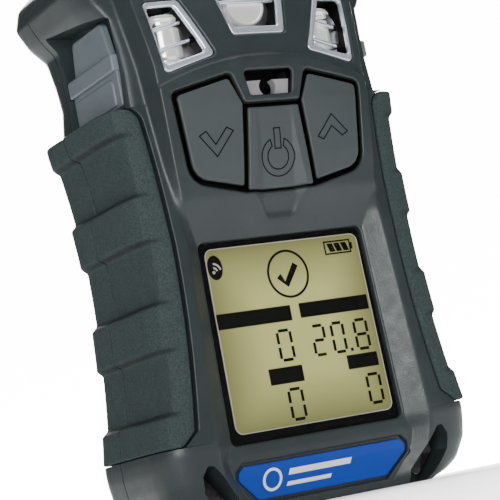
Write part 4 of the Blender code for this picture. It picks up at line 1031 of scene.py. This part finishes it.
def turned(profile, centre, axis=1, sides=40):
    """A lathe shape: (radius, level) pairs turned round an axis, closed in the middle of both ends."""
    angle = np.arange(sides) * 2 * math.pi / sides
    profile = np.asarray(profile, float)
    ring = np.column_stack([np.cos(angle), np.sin(angle)])
    flat = profile[:, None, :1] * ring[None]
    points = np.insert(flat, axis, np.broadcast_to(profile[:, None, 1], flat.shape[:2]), axis=2)
    return tube(points + centre)


def evenly(outline, pieces_per_side=6):
    """An outline with the same number of points on each of its sides, so that two outlines can be paired."""
    p = np.asarray(outline, float)
    t = np.arange(pieces_per_side)[None, :, None] / pieces_per_side
    return (p[:, None] * (1 - t) + np.roll(p, -1, 0)[:, None] * t).reshape(-1, 2)


def frame_between(outer, inner, profile):
    """A ring between two outlines. The profile gives a share of the way inwards and a depth from the front."""
    a, b = evenly(outer), evenly(inner)
    profile = np.asarray(profile, float)
    share = profile[None, :, :1]
    flat = a[:, None] * (1 - share) + b[:, None] * share
    depth = front(flat[..., 0], flat[..., 1]) + profile[None, :, 1]
    points = np.stack([flat[..., 0], depth, flat[..., 1]], axis=-1)
    return points.reshape(-1, 3), grid_faces(len(a), len(profile), wrap_rows=True, wrap_columns=True)


def rod(a, b, radius, sides=12):
    """A round bar with domed ends between two points in space."""
    a, b = np.asarray(a, float), np.asarray(b, float)
    along = (b - a) / np.linalg.norm(b - a)
    side = np.cross(along, (0.0, 1.0, 0.0))
    side /= np.linalg.norm(side)
    up = np.cross(side, along)
    turn = np.linspace(0, math.pi / 2, 5)[:-1]
    along_at = np.concatenate([-np.cos(turn) * radius, np.linalg.norm(b - a) + np.cos(turn[::-1]) * radius])
    size = np.concatenate([np.sin(turn) + 0.05, np.sin(turn[::-1]) + 0.05]).clip(0, 1) * radius
    angle = np.arange(sides) * 2 * math.pi / sides
    ring = np.cos(angle)[:, None] * side + np.sin(angle)[:, None] * up
    return tube(a + along * along_at[:, None, None] + ring[None] * size[:, None, None])


print(f"a rod has {len(rod((0, 0, 0), (5, 0, 0), 1.0)[1])} faces")

# %% [markdown]
# The horn sits in the opening between the buttons. A grey plate with a bore fills its lower half, and the upper
# half is a dark slot.

# %% Horn
HORN_SPLIT, HORN_Z = 88.0, 86.55
plate_outline = rounded([(-4.85, 84.7), (4.85, 84.7), (5.45, HORN_SPLIT), (-5.45, HORN_SPLIT)], [0.6, 0.6, 0.15, 0.15])
bore = round_bar((0.0, HORN_Z), 1.95, -30.0, 0.0, sides=48)
horn_plate = cut_mesh("horn_plate", cap(plate_outline, 1.5, 3.4, 0.12), [bore])
piece("horn_plate", horn_plate, horn_grey.material, stands_for=["horn_insert"])
slot = cap(rounded(grown(HORN, -0.12), 0.7), 5.4, 6.0)
piece("horn_slot", mesh_from("horn_slot", *slot), black.material)
print(f"the horn's plate has {len(horn_plate.polygons)} faces")

# %% [markdown]
# Behind each of the three ports stands a polished cell, guarded by a bright frame and bars; the cell's faint glow
# is painted light. A frame is one profile that runs between two outlines, so its bands may differ in width all the
# way round. A black liner closes the space behind it as painted shade for the hollow, and makes the bright cell
# stand out.

# %% Ports
FRAME_PROFILE = [(0.0, 2.0), (0.0, 0.55), (0.06, 0.35), (0.16, 0.26), (0.80, 0.42), (0.93, 0.52), (1.0, 0.75),
                 (1.0, 1.2), (0.85, 2.0)]
SEAT_PROFILE = [(0.05, -0.7), (0.62, -0.5), (0.62, 0.4), (0.05, 0.6)]
LINER_PROFILE = [(0.4, 1.6), (0.86, 1.6), (0.96, 1.25), (1.03, 9.4), (0.4, 9.4)]
LEFT_INNER = [(-22.35, 92.5), (-12.95, 94.8), (-17.5, 105.1), (-23.5, 105.1)]
CENTRE_INNER = [(-5.5, 99.5), (5.2, 99.5), (8.0, 110.6), (-8.6, 110.6)]


def port(name, outer, inner, bars, cell, dark_from):
    """Frame, bars, the polished cell and a black liner round it, which paints in the shade of the hollow. The bars end
    in small dark seats.
    """
    frame_solid = frame_between(rounded(grown(outer, -0.1), 0.9), rounded(inner, 0.9), FRAME_PROFILE)
    solids = [frame_solid]
    for (x0, z0), (x1, z1) in bars:
        ends = [(x, front(x, z) + 2.4, z) for x, z in ((x0, z0), (x1, z1))]
        solids.append(rod(*ends, 0.42))
    piece(f"{name}_port_frame", mesh_from(f"{name}_port_frame", *joined(*solids), crease=50.0), chrome.material,
          stands_for=[f"{name}_port_grille"])
    # The black liner and its back are painted shade for the port's hollow.
    liner = frame_between(rounded(grown(outer, -0.1), 0.9), rounded(inner, 0.9), LINER_PROFILE)
    back = cap(rounded(grown(outer, -0.12), 0.8), 9.2, 9.8, 0.1)
    piece(f"{name}_port_shade_liner", mesh_from(f"{name}_port_shade_liner", *joined(liner, back)), black.material)
    piece(f"{name}_cell", mesh_from(f"{name}_cell", *cell, crease=40.0), bright.material,
          stands_for=[f"{name}_dust_filter"])
    tips = [turned(SEAT_PROFILE, (x + dark_from, front(x, z) + 2.5, z), 0, 16) for _, (x, z) in bars]
    piece(f"{name}_bar_seats", mesh_from(f"{name}_bar_seats", *joined(*tips)), black.material)
    print(f"the {name} port has {len(bars)} bars")


def standing_cell(x, y, low, high, radius):
    """An upright polished can with two rolled beads, as a lathe shape."""
    levels = np.linspace(low, high, 110)
    share = (levels - low) / (high - low)
    bead = 0.4 * (np.exp(-((share - 0.12) / 0.03) ** 2) + np.exp(-((share - 0.88) / 0.03) ** 2))
    bead = bead - 0.8 * (np.exp(-((share - 0.24) / 0.014) ** 2) + np.exp(-((share - 0.76) / 0.014) ** 2))
    ends = np.minimum(1, np.sqrt(np.clip(np.minimum(share, 1 - share) / 0.06, 0.02, 1)))
    return turned(np.column_stack([(radius + bead) * ends, levels]), (x, y, 0.0), 2, 56)


LEFT_BARS = [((-23.3, 100.5), (-15.9, 101.9)), ((-22.5, 96.1), (-14.8, 97.9))]
port("left", LEFT_PORT, LEFT_INNER, LEFT_BARS, standing_cell(-18.5, -8.4, 91.6, 104.6, 4.2), 0.2)
RIGHT_BARS = [((14.9, 100.9), (21.3, 99.2)), ((14.0, 96.9), (20.9, 94.9))]
port("right", mirrored(LEFT_PORT), mirrored(LEFT_INNER), RIGHT_BARS, standing_cell(18.3, -8.4, 91.6, 104.6, 4.0), 0.2)
CELL_FACE = [(0.1, 1.2), (4.3, 1.2), (4.6, 0.9), (4.6, -0.1), (4.4, -0.35), (4.1, -0.35), (3.9, -0.1), (0.1, -0.1)]
disc = turned(CELL_FACE, (0.4, front(0.4, 105.0) + 3.6, 105.2), 1, 56)
port("centre", CENTRE_PORT, CENTRE_INNER, [((-8.2, 105.6), (7.6, 105.6))], disc, 0.0)

# %% [markdown]
# Lamps show through smoked lenses at each end of the head. A lens is a slab of the front with a soft edge.

# %% Lenses
for side_name, side in (("left", -1), ("right", 1)):
    lens = UPPER_LENS if side > 0 else mirrored(UPPER_LENS)
    made = mesh_from(f"{side_name}_upper_lens", *cap(rounded(grown(lens, -0.3), 0.9), 0.0, 1.9, 0.35), crease=50.0)
    piece(f"{side_name}_upper_lens", made, smoked.material,
          stands_for=[f"upper_{side_name}_alarm_lens"])
print(f"a lens has {len(made.polygons)} faces")

# %% [markdown]
# The label is a blue plate, set a little below its rim. It carries a plain ring and two bars as its print.

# %% Label
label_solid = cap(rounded(LABEL, 0.5), 0.12, 0.72, 0.15)
piece("blue_label", mesh_from("blue_label", *label_solid, crease=50.0), label_blue.material,
      stands_for=["label_plate"])
white = moulded("label_mark", (0.82, 0.84, 0.86), 0.4, 1.0, 0.002, 0.03)


def label_bar(x0, x1, z0, z1, lean=0.35):
    """A plain leaning bar printed on the label."""
    outline = dense([(x0, z0), (x1, z0), (x1 + lean, z1), (x0 + lean, z1)], 0.5)
    x, z = outline.T
    return tube(np.stack([np.column_stack([x, front(x, z) + under, z]) for under in (0.09, 0.3)]))


ring_mark = np.array([-12.4, 7.4]) + circle * 2.0
ring_lines = [strip_solid(*stroke(ring_mark, 0.55, True), 0.07, 0.3, True, front)]
marks = joined(*ring_lines, label_bar(-8.6, 6.4, 7.7, 8.9), label_bar(-9.1, 1.5, 5.6, 6.4))
piece("label_marks", mesh_from("label_marks", *marks), white.material)
print("a ring and two bars on the label")

# %% [markdown]
# Grey pads beside the head are what the charger hooks onto: a block with a raised panel, a band across it and a
# sloping tongue.

# %% Side catches
CATCH_FLOOR = HEAD - CATCH_DEEP + 0.3


def catch(side):
    """The catch's four solids, as plates with rounded rims, measured outwards from the recess's floor."""
    def plate_at(outline, low, high, edge):
        return pillow(outline, side * (CATCH_FLOOR + low), side * (CATCH_FLOOR + high), edge, axis=0)
    block = rounded([(-8.7, 86.4), (12.5, 86.4), (12.5, 95.1), (-8.7, 95.1)], 0.5)
    panel = rounded([(-6.7, 86.9), (11.2, 86.9), (11.2, 92.7), (-6.7, 92.7)], [0.6, 0.6, 0.6, 1.4])
    band = rounded([(-9.1, 93.6), (12.5, 93.6), (12.5, 97.3), (-9.1, 97.3)], 0.6)
    tongue = rounded([(-7.3, 96.3), (10.6, 96.3), (9.0, 104.9), (-5.2, 104.9)], 1.3)
    return joined(plate_at(block, 0.0, 1.55, 0.3), plate_at(panel, 1.2, 2.0, 0.4), plate_at(band, 0.0, 2.5, 0.45),
                  plate_at(tongue, 0.0, 1.5, 0.5))


for side_name, side in (("left", -1), ("right", 1)):
    made = mesh_from(f"{side_name}_catch", *catch(side), crease=40.0)
    piece(f"{side_name}_catch", made, grey_pad.material, stands_for=[f"{side_name}_cap_catch"])
print(f"the catches stand {CATCH_FLOOR + 2.5 - HEAD:.1f} mm out of the head")

# %% [markdown]
# The back carries a spring clip: a screwed plate with two ears, a pin, and a bent steel strap that turns on it.
# The strap is one section carried along a smooth curve. It has raised ridges at the thumb pad, and a pressed rib.

# %% Belt clip and screws
CLIP_Y, CLIP_Z, SHEET = BACK + 7.0, 90.0, 1.2


def smooth_line(nodes, count):
    """A Catmull-Rom curve through the nodes, read at even steps."""
    p = np.asarray(nodes, float)
    p = np.concatenate([[2 * p[0] - p[1]], p, [2 * p[-1] - p[-2]]])
    t = np.linspace(0, len(p) - 3, count)
    k = np.minimum(t.astype(int), len(p) - 4)
    f = (t - k)[:, None]
    a, b, c, d = p[k], p[k + 1], p[k + 2], p[k + 3]
    return 0.5 * (2 * b + (c - a) * f + (2 * a - 5 * b + 4 * c - d) * f**2 + (3 * b - a - 3 * c + d) * f**3)


def strap():
    """Rings across the strap: flat with rounded edges, pressed out a little along the middle."""
    nodes = [(CLIP_Y + 5.6, 106.0), (CLIP_Y + 3.2, 96.0), (CLIP_Y + 2.8, 90.0), (CLIP_Y + 2.2, 82.0),
             (CLIP_Y + 0.6, 66.0), (CLIP_Y - 2.4, 59.0), (BACK + 0.5, 56.0), (BACK + 0.9, 54.0)]
    spine = smooth_line(nodes, 150)
    along = np.gradient(spine, axis=0)
    along /= np.linalg.norm(along, axis=1, keepdims=True)
    out = np.column_stack([-along[:, 1], along[:, 0]])
    z = spine[:, 1]
    ends = np.sqrt(np.clip(np.minimum((106.0 - z) / 2.2, (z - 54.0) / 1.4 + 0.05), 0.08, 1))
    half = 6.8 - 2.2 * (1 - ends)
    turn = np.linspace(0, math.pi, 7)
    across = np.linspace(-1, 1, 25)
    rib_rise = smooth((z - 62) / 4) * smooth((84 - z) / 4)
    pad_rise = 0.25 * np.maximum(0, np.sin((z - 96.5) * math.pi / 1.5))
    pad_rise = pad_rise * smooth((z - 96.5) / 0.5) * smooth((105.0 - z) / 0.5)
    edge = SHEET / 2
    top_x = across[None] * (half[:, None] - edge)
    press = 0.7 * rib_rise[:, None] * np.exp(-((top_x / 2.3) ** 4))
    ridge = pad_rise[:, None] * smooth((5.2 - np.abs(top_x)) / 0.8)
    lift_top, lift_low = SHEET + press + ridge, np.zeros_like(press)
    right_x = (half[:, None] - edge) + edge * np.sin(turn)[None, 1:-1]
    right_l = edge + edge * np.cos(turn)[None, 1:-1] + 0 * right_x
    x = np.concatenate([top_x, right_x, top_x[:, ::-1], -right_x], axis=1)
    lift = np.concatenate([lift_top, right_l, lift_low[:, ::-1], right_l[:, ::-1]], axis=1)
    return tube(np.stack([x, spine[:, :1] + out[:, :1] * lift, spine[:, 1:] + out[:, 1:] * lift], axis=-1))


lug = [(CLIP_Y + 3.2, CLIP_Z + 4.0), (CLIP_Y - 1.4, CLIP_Z + 2.4), (CLIP_Y - 2.4, CLIP_Z), (CLIP_Y - 1.4, CLIP_Z - 2.4),
       (CLIP_Y + 2.8, CLIP_Z - 4.0)]
lugs = [prism(rounded(lug, 0.7), *sorted((side * 5.6, side * 6.8)), axis=0) for side in (-1, 1)]
lever_mesh = cut_mesh("clip_strap", strap(), lugs, 40.0, "UNION")
piece("clip_strap", lever_mesh, steel.material, "clip_lever", stands_for=["clip_lever"])
print(f"the strap has {len(lever_mesh.polygons)} faces")

# %% [markdown]
# A plate is screwed to the back and turns up into two ears, which hold the pin. The ears stand just outside the
# strap's own lugs, so the strap turns between them.

# %% Clip plate and pin
base_y = BACK + 0.3
base_outline = rounded([(-8.5, 60.0), (8.5, 60.0), (8.5, 98.0), (-8.5, 98.0)], 1.6)
ear = [(base_y + 0.4, CLIP_Z - 4.5), (base_y + 0.4, CLIP_Z + 4.5), (CLIP_Y + 2.0, CLIP_Z + 2.8), (CLIP_Y + 2.8, CLIP_Z),
       (CLIP_Y + 2.0, CLIP_Z - 2.8)]
ear = rounded(ear, [0.1, 0.1, 1.2, 1.2, 1.2])
ears = [prism(ear, *sorted((side * 7.1, side * 8.5)), axis=0) for side in (-1, 1)]
base_mesh = cut_mesh("clip_plate", pillow(base_outline, base_y, base_y + 1.6, 0.4), ears, 40.0, "UNION")
piece("clip_plate", base_mesh, steel.material, stands_for=["clip_base"])
pin_profile = [(0.05, -9.5), (0.9, -9.4), (1.2, -9.1), (1.2, 9.1), (0.9, 9.4), (0.05, 9.5)]
pin = turned(pin_profile, (0.0, CLIP_Y, CLIP_Z), 0, 32)
piece("hinge_pin", mesh_from("hinge_pin", *pin), steel.material, stands_for=["clip_pin"])
print(f"the plate has {len(base_mesh.polygons)} faces")

# %% [markdown]
# Six screws and two gold contacts finish the back. A screw's head has a six-lobed recess, and a contact is a low
# dome.

# %% Screw heads and contacts


def screw_head(x, y, z, radius, tall):
    """A domed head seen from behind, with a six-lobed recess: the recess's rim is a cosine of six waves."""
    sides = 72
    angle = np.arange(sides) * 2 * math.pi / sides
    lobes = 0.46 * radius * (1 + 0.14 * np.cos(6 * angle))
    dome = [(0.3, -tall), (1.0, -tall), (1.0, -0.3), (0.97, -0.12), (0.86, 0.0), (0.7, 0.05)]
    rows = [(share * radius, level) for share, level in dome]
    rows += [(lobes * 1.06, 0.06), (lobes, -0.02), (lobes * 0.96, -0.7), (0.02 * radius, -0.85)]
    rings = [(x + r * np.cos(angle), np.full(sides, y + level), z + r * np.sin(angle)) for r, level in rows]
    return tube(np.stack([np.column_stack(ring) for ring in rings]))


for number, (x, z) in enumerate(SCREW_SPOTS, 1):
    made = mesh_from(f"case_screw_head_{number}", *screw_head(x, BACK - 1.15, z, 2.6, 1.2))
    piece(f"case_screw_head_{number}", made, steel.material, stands_for=[f"case_screw_{number}"])
for number, z in enumerate((65.0, 80.0), 1):
    made = mesh_from(f"clip_screw_head_{number}", *screw_head(0.0, base_y + 2.55, z, 2.6, 0.9))
    piece(f"clip_screw_head_{number}", made, steel.material, stands_for=[f"clip_screw_{number}"])
CONTACT = [(0.05, -0.35), (1.8, -0.35), (1.8, 0.0), (1.6, 0.14), (1.0, 0.2), (0.05, 0.2)]
for side_name, x in (("left", -6.0), ("right", 6.0)):
    made = mesh_from(f"{side_name}_contact", *turned(CONTACT, (x, BACK - 0.1, 12.0), 1, 40))
    piece(f"{side_name}_contact", made, gold.material, stands_for=[f"charge_contact_{side_name}"])
print(f"{len(SCREW_SPOTS) + 2} screws and 2 contacts placed")

# %% [markdown]
# The camera stands low, ahead and to the left, and is rolled a little, as for a catalogue picture. It is turned
# by the three directions that it sees: to the right, downwards and ahead.

# %% Camera
camera = bpy.data.cameras.new("camera")
camera.lens, camera.sensor_width, camera.clip_start = 136.8, 36.0, 0.01
eye = bpy.data.objects.new("camera", camera)
RIGHT, DOWN, AHEAD = (0.8559, -0.4795, -0.1934), (-0.1005, 0.2126, -0.972), (0.5072, 0.8514, 0.1338)
looking = Matrix([RIGHT, [-c for c in DOWN], [-c for c in AHEAD]]).transposed()
eye.matrix_world = Matrix.Translation((-0.20525, -0.3405, 0.0007)) @ looking.to_4x4()
bpy.context.scene.collection.objects.link(eye)
bpy.context.scene.camera = eye
print(f"the camera stands {eye.matrix_world.translation.length:.2f} m away")

# %% [markdown]
# A key light stands ahead on the left and lights the side grip. A soft one hangs above, and a wide one behind on
# the right draws the edges of the head. A faint even light fills the shadows.

# %% Lights


def area_light(name, at, target, size, watts):
    """A rectangular lamp that faces a target: its own -Z axis is turned along the line to it."""
    lamp = bpy.data.lights.new(name, "AREA")
    lamp.shape, lamp.size, lamp.size_y, lamp.energy = "RECTANGLE", *size, watts
    made = bpy.data.objects.new(name, lamp)
    made.location = at
    made.rotation_euler = (Vector(target) - Vector(at)).to_track_quat("-Z", "Y").to_euler()
    bpy.context.scene.collection.objects.link(made)


MIDDLE = (0.0, 0.0, 0.06)
area_light("key", (-0.27, -0.46, 0.12), MIDDLE, (0.18, 0.26), 2.3)
area_light("top", (0.0, -0.10, 0.50), MIDDLE, (0.40, 0.30), 1.2)
area_light("rear", (0.30, 0.40, 0.30), MIDDLE, (0.4, 0.4), 2.0)

world = bpy.data.worlds.new("pale_room")
world.use_nodes = True
world.node_tree.nodes["Background"].inputs["Color"].default_value = (1.0, 1.0, 1.0, 1.0)
world.node_tree.nodes["Background"].inputs["Strength"].default_value = 0.12
bpy.context.scene.world = world
print(f"{len(bpy.data.lights)} lamps")

# %% [markdown]
# The floor is pale, and a bright screen stands behind the object. Both give off a little light of their own, so
# that they come out near white.

# %% Floor and backdrop


def screen(name, corners, glow):
    """A flat studio screen with a little light of its own."""
    mesh = bpy.data.meshes.new(name)
    mesh.from_pydata(corners, [], [(0, 1, 2, 3)])
    made = bpy.data.objects.new(name, mesh)
    bpy.context.scene.collection.objects.link(made)
    look = Finish(name, (0.9, 0.9, 0.9), 0.6, Emission_Color=(1.0, 1.0, 1.0, 1.0), Emission_Strength=glow)
    mesh.materials.append(look.material)
    made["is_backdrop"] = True


screen("floor", [(-3, -3, 0), (3, -3, 0), (3, 3, 0), (-3, 3, 0)], 0.25)
screen("backdrop", [(0.15, 1.55, -0.4), (1.25, 0.9, -0.4), (1.25, 0.9, 1.2), (0.15, 1.55, 1.2)], 14.0)
print("floor and backdrop placed")

# %% [markdown]
# The finished pieces have to fill the same box as the imported model. The scene's box is printed, in millimetres.

# %% Size and finish
low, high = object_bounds()
print("size in mm:", [round((b - a) / MM, 2) for a, b in zip(low, high)])
